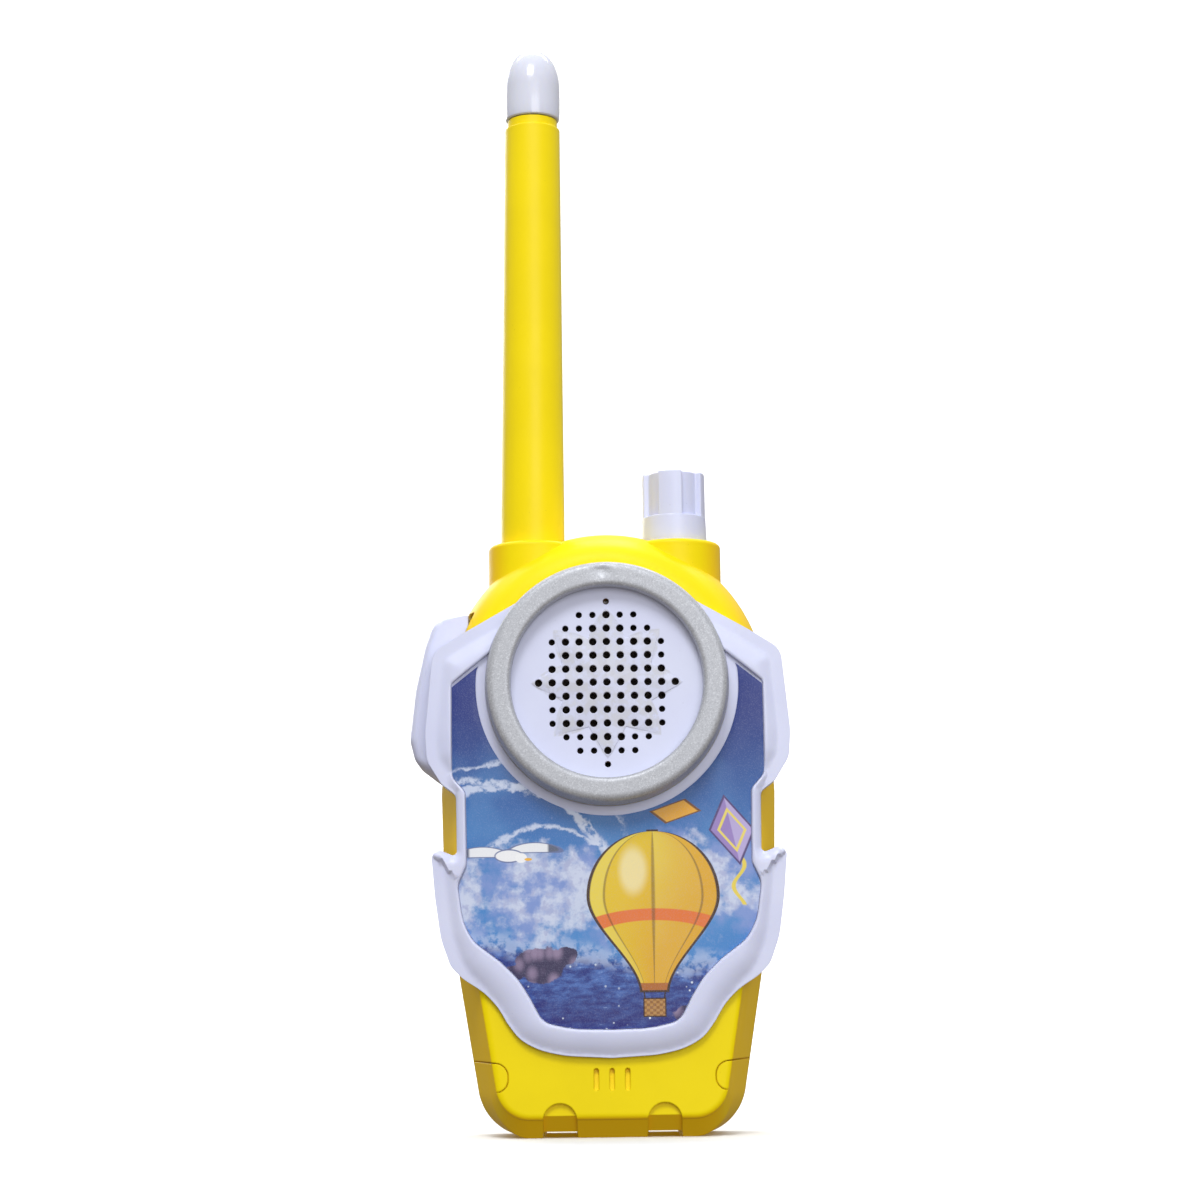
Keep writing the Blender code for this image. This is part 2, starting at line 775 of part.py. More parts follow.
# ---------------------------------------------------------------- aerial
AERIAL = (AERIAL_X - 165 * AERIAL_LEAN, PARTING_Y)
sleeve_profile = [
    (2.0, 112.9),
    (6.95, 112.9),
    (6.95, 115.2),
    (6.5, 115.2),
    (6.5, 125.5),
    (6.12, 164.0),
    (5.74, 207.4),
    (5.5, 208.1),
    (5.2, 208.1),
    (5.2, 209.9),
    (4.0, 209.9),
    (4.0, 216.0),
    (2.0, 216.0),
]
add("aerial_sleeve", *lathe(sleeve_profile, "Z", AERIAL, 20, AERIAL_LEAN), "yellow_plastic")
cap_profile = [
    (0, 210.1),
    (5.5, 210.1),
    (5.68, 210.6),
    (5.75, 213.0),
    (5.72, 217.0),
    (5.55, 219.6),
    (5.1, 221.9),
    (4.2, 223.7),
    (2.7, 224.8),
    (0, AERIAL_TOP),
]
aerial_cap = add("aerial_cap", *lathe(cap_profile, "Z", AERIAL, 20, AERIAL_LEAN), "cap_plastic")
socket = lathe(rod(4.25, 205, 216.6), "Z", AERIAL, 16, AERIAL_LEAN)
cut(aerial_cap, add("cap_socket", *socket))
add("aerial_wire", *lathe(rod(0.9, 108.6, 206), "Z", AERIAL, 8, AERIAL_LEAN), "steel")
lug = lathe(pipe(1.1, 3.2, 110.4, 111.4), "Z", AERIAL, 12, AERIAL_LEAN)
add("aerial_lug", *lug, "brass")


# ---------------------------------------------------------------- volume knob
def knob_section(radius, floor):
    """Four broad ribs with a shallow flute as wide as a rib between each pair."""
    outline = []
    for rib in range(4):
        middle = -98 + 90 * rib
        for turn in (-23, -11.5, 0, 11.5, 23):
            a = math.radians(middle + turn)
            outline.append((KNOB_X + radius * math.cos(a), PARTING_Y + radius * math.sin(a)))
        for turn in (26, 35.5, 45, 54.5, 64):
            a = math.radians(middle + turn)
            outline.append((KNOB_X + floor * math.cos(a), PARTING_Y + floor * math.sin(a)))
    return outline


collar = [(0, 119.0), (6.55, 119.0), (6.65, 119.3), (6.5, 124.3), (0, 124.3)]
knob = add("knob", *lathe(collar, "Z", (KNOB_X, PARTING_Y), 28), "white_plastic")
ribs = loft(
    [
        [(x, y, z) for x, y in knob_section(radius, floor)]
        for radius, floor, z in ((6.45, 5.75, 123.9), (6.4, 5.7, 132.9), (6.0, 5.3, 133.4))
    ]
)
fuse(knob, add("knob_ribs", *ribs))
cut(knob, add("knob_bore", *lathe(rod(3.12, 110, 128.7), "Z", (KNOB_X, PARTING_Y), 16)))
shaft_profile = [(0, 107.3), (2.4, 107.3), (2.4, 114.1), (3.0, 114.1), (3.0, 128.4), (0, 128.4)]
add("volume_shaft", *lathe(shaft_profile, "Z", (KNOB_X, PARTING_Y), 12), "steel")
volume_control = add(
    "volume_control", *box(KNOB_X - 3.6, KNOB_X + 3.6, -9.6, -0.6, 97.0, 107.0), "black_plastic"
)
bush = lathe(rod(3.5, 106.5, 113.8), "Z", (KNOB_X, PARTING_Y), 12)
fuse(volume_control, add("volume_bush", *bush))
bush_bore = lathe(rod(2.65, 107.0, 120), "Z", (KNOB_X, PARTING_Y), 12)
cut(volume_control, add("volume_bore", *bush_bore))

# ---------------------------------------------------------------- talk bar and its switch
talk_normals = normals(TALK_OUTLINE)


def talk_ring(y, inward):
    ring = []
    for (x, z), (nx, nz) in zip(TALK_OUTLINE, talk_normals):
        weight = 0 if x > -31.5 else min(1, (-31.5 - x) / 2)
        ring.append((x - nx * inward * weight, y, z - nz * inward * weight))
    return ring


talk_levels = [(-12.3, 2.1), (-11.9, 1.1), (-10.8, 0.3), (-9.0, 0), (-0.6, 0), (1.4, 0.3)]
talk_levels += [(2.6, 1.1), (3.0, 2.1)]
talk_bar = add("talk_bar", *loft([talk_ring(y, by) for y, by in talk_levels]), "white_plastic")
fuse(talk_bar, add("talk_stem", *box(-30.5, -25.6, -11.5, 1.5, 80.5, 95.4)))
fuse(talk_bar, add("talk_flange", *box(-26.2, -25.0, -14.2, 4.2, 82.0, 95.0)))
switch = add("talk_switch", *box(-22.4, -16.4, -9.75, -5.75, 85.4, 91.4), "black_plastic")
plunger_bore = lathe(rod(1.35, -30, -20.0), "X", (-7.75, 88.4), 10)
cut(switch, add("plunger_bore", *plunger_bore))
plunger = lathe(rod(1.15, -24.8, -21.4), "X", (-7.75, 88.4), 10)
add("switch_plunger", *plunger, "black_plastic")

# ---------------------------------------------------------------- board and what is on it
BOARD_BACK = BOARD_Y + 1.6
board = add("circuit_board", *box(-19.6, 19.6, BOARD_Y, BOARD_BACK, 24, 103), "board")
board_holes = [lathe(rod(1.2, -20, 0), "Y", p, 8) for p in BOARD_SCREWS]
cut(board, add("board_holes", *many(*board_holes)))


def on_front(name, x, z, wide, tall, deep, slot):
    front = BOARD_Y - 0.1
    add(name, *box(x - wide / 2, x + wide / 2, front - deep, front, z - tall / 2, z + tall / 2), slot)


def on_back(name, x, z, wide, tall, deep, slot):
    back = BOARD_BACK + 0.1
    add(name, *box(x - wide / 2, x + wide / 2, back, back + deep, z - tall / 2, z + tall / 2), slot)


on_front("radio_chip", -6.0, 48.0, 9.5, 7.0, 2.4, "black_plastic")
on_front("amplifier_chip", 8.0, 52.0, 6.4, 9.6, 2.6, "black_plastic")
on_front("crystal", -3.0, 37.0, 11.0, 4.6, 3.4, "steel")
on_back("tuning_can_1", 4.5, 78.0, 7.2, 7.2, 10.5, "steel")
on_back("tuning_can_2", -6.5, 76.0, 7.2, 7.2, 10.5, "steel")
filter_cap = [(0, -9.8), (4.0, -9.8), (4.0, 1.0), (3.4, 1.5), (0, 1.5)]
add("filter_capacitor", *lathe(filter_cap, "Y", (-4.0, 88.5), 14), "capacitor_sleeve")
small_cap = [(0, 32.0), (1.9, 32.0), (1.9, 40.0), (0, 40.0)]
add("small_capacitor", *lathe(small_cap, "Z", (11.0, BOARD_Y - 2.05), 12), "capacitor_sleeve")

# ---------------------------------------------------------------- microphone
MIC = (0, 14.9)
add("microphone", *lathe(rod(3.0, -15.6, -11.4), "Y", MIC, 14), "steel")
add("mic_boot", *lathe(pipe(3.2, 4.2, -15.8, -12.4), "Y", MIC, 14), "rubber")

# ---------------------------------------------------------------- battery, snap and door
bx, by, bz = BATTERY
battery = add("battery", *box(-bx / 2, bx / 2, -6.3, -6.3 + by, 7.4, 7.4 + bz), "battery_jacket")
TERMINAL_Y = -6.3 + by / 2
small_terminal = lathe(rod(2.8, 50, 56.0), "Z", (-6.4, TERMINAL_Y), 12)
large_terminal = lathe(rod(3.9, 50, 56.0), "Z", (6.4, TERMINAL_Y), 8)
fuse(battery, add("battery_terminals", *many(small_terminal, large_terminal)))
snap = add(
    "battery_snap",
    *box(-12.6, 12.6, TERMINAL_Y - 6.0, TERMINAL_Y + 6.0, 54.1, 57.9),
    "black_plastic",
)
small_socket = lathe(rod(3.1, 50, 56.4), "Z", (-6.4, TERMINAL_Y), 12)
large_socket = lathe(rod(4.25, 50, 56.4), "Z", (6.4, TERMINAL_Y), 8)
cut(snap, add("snap_sockets", *many(small_socket, large_socket)))

DOOR = rounded([(-15.8, 5.6, 2), (15.8, 5.6, 2), (15.8, 68.3, 2), (-15.8, 68.3, 2)], 30)
door_levels = [(11.4, 0.0), (12.5, 0.0), (13.0, 0.5)]
door = add(
    "battery_door",
    *loft([[(x, y, z) for x, z in shrunk(DOOR, by)] for y, by in door_levels]),
    "yellow_plastic",
)
door_holes = [lathe(rod(1.5, 5, 20), "Y", p, 10) for p in DOOR_SCREWS]
grips = [box(-8, 8, 12.4, 20, z, z + 1.2) for z in (12.0, 14.6, 17.2)]
cut(door, add("door_holes", *many(*door_holes, *grips)))
for number, place in enumerate(DOOR_SCREWS, 1):
    screw(f"door_screw_{number}", place, 13.1, 6.2, 2.3, 0.95)

# ---------------------------------------------------------------- belt clip
PIN_Y, PIN_Z = CLIP_PIN
bracket = add("clip_bracket", *box(-9.6, 9.6, 13.1, 15.0, 90.4, 112.4), "white_plastic")
for side in (-1, 1):
    inner, outer = sorted((side * 7.5, side * 9.6))
    lug_outline = [
        (14.0, 97.4),
        (PIN_Y + 0.4, 99.6),
        (PIN_Y + 2.0, 100.7),
        (PIN_Y + 2.5, PIN_Z),
        (PIN_Y + 2.0, 103.3),
        (PIN_Y + 0.4, 104.4),
        (14.0, 106.6),
    ]
    name = "left" if side < 0 else "right"
    fuse(bracket, add(f"bracket_lug_{name}", *side_prism(lug_outline, inner, outer)))
cut(bracket, add("bracket_pin_hole", *lathe(rod(1.2, -20, 20), "X", CLIP_PIN, 12)))
bracket_holes = [lathe(rod(1.4, 10, 16), "Y", p, 10) for p in BRACKET_SCREWS]
cut(bracket, add("bracket_holes", *many(*bracket_holes)))
for number, place in enumerate(BRACKET_SCREWS, 1):
    screw(f"bracket_screw_{number}", place, 15.1, 8.0, 2.3, 0.95)

clip_side = [
    (19.8, 106.0),
    (21.0, 113.6),
    (23.1, 114.0),
    (22.4, 106.0),
    (22.2, 96.0),
    (22.2, 76.0),
    (21.2, 72.8),
    (18.8, 70.9),
    (15.6, 70.6),
    (13.5, 71.6),
    (13.9, 73.0),
    (16.6, 73.0),
    (18.6, 74.4),
    (20.0, 77.0),
    (19.8, 96.0),
]
clip = add("belt_clip", *side_prism(clip_side, -7.1, 7.1), "white_plastic")
for side in (-1, 1):
    inner, outer = sorted((side * 3.7, side * 7.1))
    name = "left" if side < 0 else "right"
    fuse(clip, add(f"clip_barrel_{name}", *lathe(rod(2.4, inner, outer), "X", CLIP_PIN, 16)))
cut(clip, add("clip_bore", *lathe(rod(1.2, -20, 20), "X", CLIP_PIN, 12)))
cut(clip, add("clip_window", *box(-3.5, 3.5, 15, 20.9, 91.5, 105.0)))
add("clip_pin", *lathe(rod(1.05, -9.5, 9.5), "X", CLIP_PIN, 10), "steel")


def wire(name, path, radius, slot, sides=2):
    curve = bpy.data.curves.new(name, "CURVE")
    curve.dimensions = "3D"
    spline = curve.splines.new("POLY")
    spline.points.add(len(path) - 1)
    for point, (x, y, z) in zip(spline.points, path):
        point.co = (x / 1000, y / 1000, z / 1000, 1)
    curve.bevel_depth = radius / 1000
    curve.bevel_resolution = sides
    curve.use_fill_caps = True
    curve.materials.append(material(slot))
    obj = bpy.data.objects.new(name, curve)
    bpy.context.collection.objects.link(obj)
    return obj


def eased(corners, parts=3):
    """Corner points joined by short arcs, as a smooth run for a wire."""
    path = [Vector(corners[0])]
    for before, here, after in zip(corners, corners[1:], corners[2:]):
        a = Vector(before).lerp(Vector(here), 0.55)
        b = Vector(here)
        c = Vector(here).lerp(Vector(after), 0.45)
        for i in range(parts + 1):
            t = i / parts
            path.append(a.lerp(b, t).lerp(b.lerp(c, t), t))
    path.append(Vector(corners[-1]))
    return [tuple(p) for p in path]


coil = []
TURNS = 4
for i in range(TURNS * 8 + 5):
    turn = 2 * math.pi * i / 8 - math.pi
    x = -2.6 + 5.2 * i / (TURNS * 8 + 4)
    coil.append((x, PIN_Y + 1.5 * math.cos(turn), PIN_Z + 1.5 * math.sin(turn)))
coil = [(-2.6, 15.6, 96.9)] + coil + [(2.6, 20.3, 94.0)]
wire("clip_spring", coil, 0.24, "steel", 0)

# ---------------------------------------------------------------- leads
for number, side in ((1, -1), (2, 1)):
    slot = "wire_red" if side > 0 else "wire_black"
    name = "red" if side > 0 else "black"
    run = [(side * 3.2, 0.5, 58.4), (side * 3.2, -3.6, 59.0)]
    run += [(side * 3.2, -3.6, 66), (side * 4.2, -9.1, 68.5)]
    wire(f"battery_lead_{name}", eased(run), 0.45, slot, 1)
    run = [(side * 4.5, -12.9, 78.6), (side * 5.5, -13.0, 71), (side * 7.0, -12.2, 62.5)]
    wire(f"speaker_lead_{name}", eased(run), 0.4, slot, 1)
    run = [(side * 1.1, -10.9, 15.0), (side * 1.2, -10.2, 18.5)]
    run += [(side * 1.8, -12.3, 22.4), (side * 2.0, -12.3, 27.5)]
    wire(f"mic_lead_{name}", eased(run), 0.35, slot, 1)
run = [(-15.0, -7.6, 109.6), (-14.6, -8.0, 106.5), (-12.6, -9.1, 101.0)]
wire("aerial_lead", eased(run), 0.45, "wire_red", 1)
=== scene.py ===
"""The toy walkie talkie's looks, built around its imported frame."""

import json
import math

import bmesh
import bpy
import numpy as np
from mathutils import Matrix, Vector
from mathutils.geometry import delaunay_2d_cdt


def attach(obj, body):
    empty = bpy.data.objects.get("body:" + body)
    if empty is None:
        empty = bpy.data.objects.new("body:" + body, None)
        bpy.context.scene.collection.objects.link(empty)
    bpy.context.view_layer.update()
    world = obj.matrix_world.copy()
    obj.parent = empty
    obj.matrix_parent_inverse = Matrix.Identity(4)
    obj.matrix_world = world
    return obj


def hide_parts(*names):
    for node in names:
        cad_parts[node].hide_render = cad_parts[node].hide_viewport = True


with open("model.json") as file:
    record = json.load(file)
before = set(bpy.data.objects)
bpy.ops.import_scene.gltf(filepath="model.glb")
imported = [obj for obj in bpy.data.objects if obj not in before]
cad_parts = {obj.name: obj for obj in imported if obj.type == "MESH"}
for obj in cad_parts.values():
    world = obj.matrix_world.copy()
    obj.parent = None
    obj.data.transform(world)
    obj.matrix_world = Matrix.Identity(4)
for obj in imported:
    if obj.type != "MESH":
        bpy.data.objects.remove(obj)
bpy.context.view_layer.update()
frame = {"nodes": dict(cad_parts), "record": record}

# ---------------------------------------------------------------- dimensions, in millimetres
FRONT_Y = -18.0
PARTING_Y = -5.0
REAR_Y = 13.0
WALL = 2.2
SPEAKER_Z = 88.4
DISC_R = 32.4
AERIAL_X = -14.45
KNOB_X = 14.25
BOSS_R = 9.4
BOSS_TOP = 118.7
AERIAL_TOP = 225.2
AERIAL_LEAN = 0.0075
RING_FACE_R = 23.6
RING_BASE_R = 24.15
RING_BORE_R = 19.0
RING_Y = -25.3
GRILLE_Y = -21.9
HOLE_PITCH = 2.7
BEZEL_Y = -20.4
PLATE_Y = -19.2
BEZEL_BACK_Y = -13.6
CLIP_PIN = (18.0, 102.0)
TALK_SIDE_X = -27.7
TALK_TRAVEL = 0.8
LABEL_ARC_R = 25.95
BOSS_EDGE = 0.9
STAR_HOLE_R = 0.74
PLAIN_HOLE_R = 0.62
HOLE_LIP = 0.09
FOOT_NOTCH_TOP = 1.2
RANGE_SOCKETS = ("From Min", "From Max", "To Min", "To Max")
scene = bpy.context.scene


# ---------------------------------------------------------------- camera, light and floor
def camera():
    """The photograph's viewpoint: close to the floor and tipped up."""
    pitch = math.radians(9.2)
    roll = math.radians(-0.75)
    forward = Vector((0, math.cos(pitch), math.sin(pitch)))
    level = Vector((1, 0, 0))
    raised = level.cross(forward)
    right = level * math.cos(roll) + raised * math.sin(roll)
    up = raised * math.cos(roll) - level * math.sin(roll)
    data = bpy.data.cameras.new("camera")
    data.lens = 79.05
    data.sensor_width = 36
    data.clip_start = 0.02
    data.clip_end = 20
    made = bpy.data.objects.new("camera", data)
    turn = Matrix((right, up, -forward)).transposed().to_4x4()
    made.matrix_world = Matrix.Translation((-0.00115, -0.538, 0.0213)) @ turn
    scene.collection.objects.link(made)
    scene.camera = made


def softbox(name, place, target, size, power, colour=(1, 1, 1)):
    data = bpy.data.lights.new(name, "AREA")
    data.shape = "RECTANGLE"
    data.size, data.size_y = size
    data.energy = power
    data.color = colour
    made = bpy.data.objects.new(name, data)
    turn = (Vector(target) - Vector(place)).to_track_quat("-Z", "Y")
    made.matrix_world = Matrix.Translation(place) @ turn.to_matrix().to_4x4()
    scene.collection.objects.link(made)


def colours(sockets):
    return [socket for socket in sockets if socket.type == "RGBA"]


def sky():
    """A bright ceiling over a dim room, so that what faces down or aside is shaded."""
    world = bpy.data.worlds.new("studio")
    world.use_nodes = True
    nodes = world.node_tree.nodes
    links = world.node_tree.links
    look = nodes.new("ShaderNodeTexCoord")
    parts = nodes.new("ShaderNodeSeparateXYZ")
    links.new(look.outputs["Generated"], parts.inputs[0])

    def by_height(kind, *numbers):
        ramp = nodes.new("ShaderNodeMapRange")
        ramp.interpolation_type = kind
        for name, number in zip(RANGE_SOCKETS, numbers):
            ramp.inputs[name].default_value = number
        links.new(parts.outputs["Z"], ramp.inputs["Value"])
        return ramp.outputs["Result"]

    strength = by_height("SMOOTHSTEP", -0.1, 0.75, 0.27, 0.80)
    links.new(strength, nodes["Background"].inputs["Strength"])
    tint = nodes.new("ShaderNodeMix")
    tint.data_type = "RGBA"
    warm, cool = colours(tint.inputs)
    warm.default_value = (1.0, 0.88, 0.76, 1)
    cool.default_value = (0.95, 0.97, 1.0, 1)
    links.new(by_height("LINEAR", -0.3, 0.4, 0.0, 1.0), tint.inputs["Factor"])
    links.new(colours(tint.outputs)[0], nodes["Background"].inputs["Color"])
    scene.world = world


def studio():
    scene.view_settings.view_transform = "Standard"
    sky()
    cool = (0.97, 0.98, 1.0)
    softbox("key", (-0.10, -0.72, 0.86), (0, 0, 0.11), (0.34, 0.34), 5.0)
    softbox("fill", (0.25, -1.05, 0.30), (0, 0, 0.10), (0.6, 0.6), 3.4, cool)
    softbox("back_fill", (-0.55, 1.0, 0.55), (0, 0, 0.11), (0.6, 0.6), 3.2, cool)
    softbox("sweep_light", (0, 0.75, 1.9), (0, 1.6, 0.35), (2.4, 0.5), 42.0)
    # A level floor that bends up into a wall behind.
    bend_y = 0.9
    bend_r = 0.8
    profile = [(-12, 0), (bend_y, 0)]
    for k in range(1, 19):
        turn = math.radians(5 * k)
        profile.append((bend_y + bend_r * math.sin(turn), bend_r - bend_r * math.cos(turn)))
    profile.append((1.7, 3.2))
    points = [(x, y, z) for x in (-9, 9) for y, z in profile]
    count = len(profile)
    mesh = bpy.data.meshes.new("floor")
    faces = [(k, count + k, count + k + 1, k + 1) for k in range(count - 1)]
    mesh.from_pydata(points, [], faces)
    mesh.shade_smooth()
    floor = bpy.data.objects.new("floor", mesh)
    floor.visible_diffuse = False
    floor.visible_glossy = False
    scene.collection.objects.link(floor)
    g = Graph("pale_paper")
    g.feed("Base Color", g.blend((0.90, 0.90, 0.905, 1), (0.93, 0.93, 0.93, 1), g.noise(40, 4)))
    g.put("Roughness", 0.9)
    g.put("Specular IOR Level", 0.1)
    mesh.materials.append(g.material)


# ---------------------------------------------------------------- node maths
class Graph:
    """A material's node tree with one Principled shader."""

    def __init__(self, name):
        self.material = bpy.data.materials.new(name)
        self.material.use_nodes = True
        self.nodes = self.material.node_tree.nodes
        self.links = self.material.node_tree.links
        self.shader = self.nodes["Principled BSDF"]
        source = self.nodes.new("ShaderNodeTexCoord")
        self.place = source.outputs["Object"]
        self.facing = source.outputs["Normal"]
        self.normal = None

    def put(self, socket, value):
        self.shader.inputs[socket].default_value = value

    def feed(self, socket, value):
        self.give(self.shader.inputs[socket], value)

    def node(self, kind, **inputs):
        made = self.nodes.new(kind)
        for name, value in inputs.items():
            self.give(made.inputs[name], value)
        return made

    def give(self, socket, value):
        if isinstance(value, Term):
            self.links.new(value.socket, socket)
        elif isinstance(value, bpy.types.NodeSocket):
            self.links.new(value, socket)
        else:
            socket.default_value = value

    def axes(self):
        """x, y and z in millimetres."""
        parts = self.node("ShaderNodeSeparateXYZ")
        self.links.new(self.place, parts.inputs[0])
        return [Term(self, parts.outputs[k]) * 1000 for k in range(3)]

    def noise(self, scale, detail=3.0, rough=0.5, place=None):
        made = self.node("ShaderNodeTexNoise", Scale=scale, Detail=detail, Roughness=rough)
        self.links.new(place or self.place, made.inputs["Vector"])
        return Term(self, made.outputs["Fac"])

    def cells(self, scale, output="Distance", place=None):
        made = self.node("ShaderNodeTexVoronoi", Scale=scale)
        self.links.new(place or self.place, made.inputs["Vector"])
        return Term(self, made.outputs[output])

    def point(self, x, y, z):
        made = self.node("ShaderNodeCombineXYZ")
        for socket, value in zip(made.inputs, (x, y, z)):
            self.give(socket, value)
        return made.outputs[0]

    def blend(self, first, second, share):
        made = self.nodes.new("ShaderNodeMix")
        made.data_type = "RGBA"
        self.give(made.inputs["Factor"], share)
        for socket, value in zip(colours(made.inputs), (first, second)):
            self.give(socket, value)
        return colours(made.outputs)[0]

    def spread(self, value, low, high, new_low=0.0, new_high=1.0):
        """Eases from new_low to new_high as the value runs from low to high."""
        made = self.node("ShaderNodeMapRange", Value=value)
        made.interpolation_type = "SMOOTHSTEP"
        for name, number in zip(RANGE_SOCKETS, (low, high, new_low, new_high)):
            self.give(made.inputs[name], number)
        return Term(self, made.outputs["Result"])

    def bump(self, height, distance, strength):
        made = self.node("ShaderNodeBump", Height=height, Distance=distance, Strength=strength)
        if self.normal is not None:
            self.links.new(self.normal, made.inputs["Normal"])
        self.normal = made.outputs["Normal"]
        self.links.new(self.normal, self.shader.inputs["Normal"])

    def soft_edges(self, radius):
        made = self.nodes.new("ShaderNodeBevel")
        made.samples = 4
        made.inputs["Radius"].default_value = radius
        self.normal = made.outputs["Normal"]
        self.links.new(self.normal, self.shader.inputs["Normal"])


class Term:
    """A number that varies over a surface, so that node maths is written as plain sums."""

    def __init__(self, graph, socket):
        self.graph = graph
        self.socket = socket

    def with_(self, kind, *others):
        made = self.graph.nodes.new("ShaderNodeMath")
        made.operation = kind
        for socket, value in zip(made.inputs, (self, *others)):
            self.graph.give(socket, value)
        return Term(self.graph, made.outputs[0])

    def __add__(self, other):
        return self.with_("ADD", other)

    def __sub__(self, other):
        return self.with_("SUBTRACT", other)

    def __mul__(self, other):
        return self.with_("MULTIPLY", other)

    def __truediv__(self, other):
        return self.with_("DIVIDE", other)

    def __abs__(self):
        return self.with_("ABSOLUTE")

    def above(self, edge, soft=0.05):
        return self.graph.spread(self, edge - soft, edge + soft)

    def below(self, edge, soft=0.05):
        return self.graph.spread(self, edge - soft, edge + soft, 1.0, 0.0)


def length(x, y):
    return (x * x + y * y).with_("SQRT")


def sine(term):
    return term.with_("SINE")


# ---------------------------------------------------------------- materials
def moulded(
    name, low, high, rough, *, edge=0.0, grain=0.00001, coat=0.0, glow=0.0, specks=True, shine=0.5, painted_shade_colour=None
):
    """Moulded plastic: faintly cloudy, with a fine sparked skin, dust specks and rubbed marks.

    A painted shade colour takes over where the surface itself faces aside or down.
    """
    g = Graph(name)
    x, y, z = g.axes()
    cloud = g.noise(60, 5, 0.55)
    colour = g.blend((*low, 1), (*high, 1), g.spread(cloud, 0.3, 0.7))
    # Painted shade: faces turned aside or down blend towards the darker shade colour.
    if painted_shade_colour:
        facing = g.node("ShaderNodeSeparateXYZ", Vector=g.facing)
        aside = g.spread(abs(Term(g, facing.outputs[0])), 0.45, 0.95, 0.0, 0.8)
        down = g.spread(Term(g, facing.outputs[2]), -0.75, -0.1, 1.0, 0.0)
        colour = g.blend(colour, (*painted_shade_colour, 1), aside.with_("MAXIMUM", down))
    if specks:
        dust = g.cells(420).below(0.055, 0.02) * g.noise(130, 2).above(0.56, 0.04)
        darker = tuple(c * 0.72 for c in low)
        colour = g.blend(colour, (*darker, 1), dust * 0.35)
    g.feed("Base Color", colour)
    patches = g.noise(140, 4, 0.6)
    drawn_out = g.point(x * 0.0015, y * 0.0002, z * 0.0001)
    rubs = g.spread(g.noise(900, 2, 0.5, drawn_out), 0.62, 0.8)
    g.feed("Roughness", g.spread(patches, 0.25, 0.75, rough - 0.05, rough + 0.05) + rubs * 0.06)
    if edge:
        g.soft_edges(edge / 1000)
    g.bump(g.noise(2600, 3, 0.6), grain, 1.0)
    g.bump(g.noise(45, 2), 0.00012, 0.35)
    g.put("IOR", 1.5)
    g.put("Specular IOR Level", shine)
    if coat:
        g.put("Coat Weight", coat)
        g.put("Coat Roughness", 0.08)
    if glow:
        g.put("Subsurface Weight", glow)
        g.put("Subsurface Radius", (1.0, 0.7, 0.25))
        g.put("Subsurface Scale", 0.0012)
    return g


def metal(name, low, high, rough, tone=1.0):
    g = Graph(name)
    g.feed("Base Color", g.blend((*low, 1), (*high, 1), g.noise(900, 4)))
    g.put("Metallic", tone)
    g.feed("Roughness", g.spread(g.noise(300, 4), 0.3, 0.7, rough - 0.06, rough + 0.08))
    g.bump(g.noise(2700, 3), 0.00001, 0.8)
    return g.material


def starred_grille():
    """The grille's plastic, greyer and mottled on its star, with painted shade on alternate star facets and on the
    hole walls: dark navy off the star, browner under it, tan in the single outer holes.
    """
    g = moulded("lilac_grille", (0.67, 0.70, 0.91), (0.70, 0.735, 0.93), 0.40)
    plain = g.shader.inputs["Base Color"].links[0].from_socket
    x, y, z = g.axes()
    up = z - SPEAKER_Z
    reach = length(x, up)
    half_point = math.radians(22.5)
    turn = up.with_("ARCTAN2", x)
    star = (reach + turn.with_("PINGPONG", half_point) * (5.55 / half_point)).below(14.9, 0.25)
    mottle = g.noise(420, 5, 0.7)
    # Painted shade: every other facet of the star is darkened, as if one side of each point were in shade.
    facet = sine(turn * 8.0).above(0.0, 0.05)
    grey = g.blend((0.36, 0.37, 0.40, 1), (0.60, 0.61, 0.66, 1), g.spread(mottle, 0.36, 0.60))
    grey = g.blend(grey, (0.46, 0.45, 0.45, 1), facet * 0.30)
    colour = g.blend(plain, grey, star * g.spread(mottle, 0.40, 0.60, 0.10, 0.70))
    # Painted shade: the hole walls are painted dark, browner under the star and tan in the single outer holes.
    inner = g.blend((0.030, 0.035, 0.085, 1), (0.20, 0.165, 0.15, 1), star)
    single = reach.above(15.3, 0.05) * abs(x).below(1.0, 0.05)
    inner = g.blend(inner, (0.42, 0.24, 0.10, 1), single)
    hole_shade_mask = y.above(GRILLE_Y + 0.14, 0.05) * reach.below(17.4, 0.1)
    g.feed("Base Color", g.blend(colour, inner, hole_shade_mask))
    return g


def flaked_paint():
    """Silver paint: bright and dark flakes in a grey lacquer."""
    g = Graph("silver_ring_paint")
    fine = g.cells(5200, output="Color")
    tone = g.noise(3000, 3, 0.7)
    grey = g.blend((0.42, 0.435, 0.47, 1), (0.53, 0.545, 0.585, 1), g.spread(tone, 0.3, 0.7))
    flake = g.node("ShaderNodeSeparateColor")
    g.links.new(fine.socket, flake.inputs[0])
    bright = Term(g, flake.outputs[0]).above(0.84, 0.08)
    dark = Term(g, flake.outputs[1]).above(0.84, 0.08)
    grey = g.blend(grey, (0.74, 0.76, 0.80, 1), bright * 0.40)
    grey = g.blend(grey, (0.30, 0.31, 0.34, 1), dark * 0.35)
    g.feed("Base Color", grey)
    g.put("Metallic", 0.35)
    g.feed("Roughness", g.spread(g.noise(1500, 3), 0.3, 0.7, 0.42, 0.56))
    g.bump(g.noise(4200, 3, 0.7), 0.000004, 1.0)
    g.bump(g.noise(300, 3), 0.00002, 0.3)
    g.put("Specular IOR Level", 0.4)
    return g.material


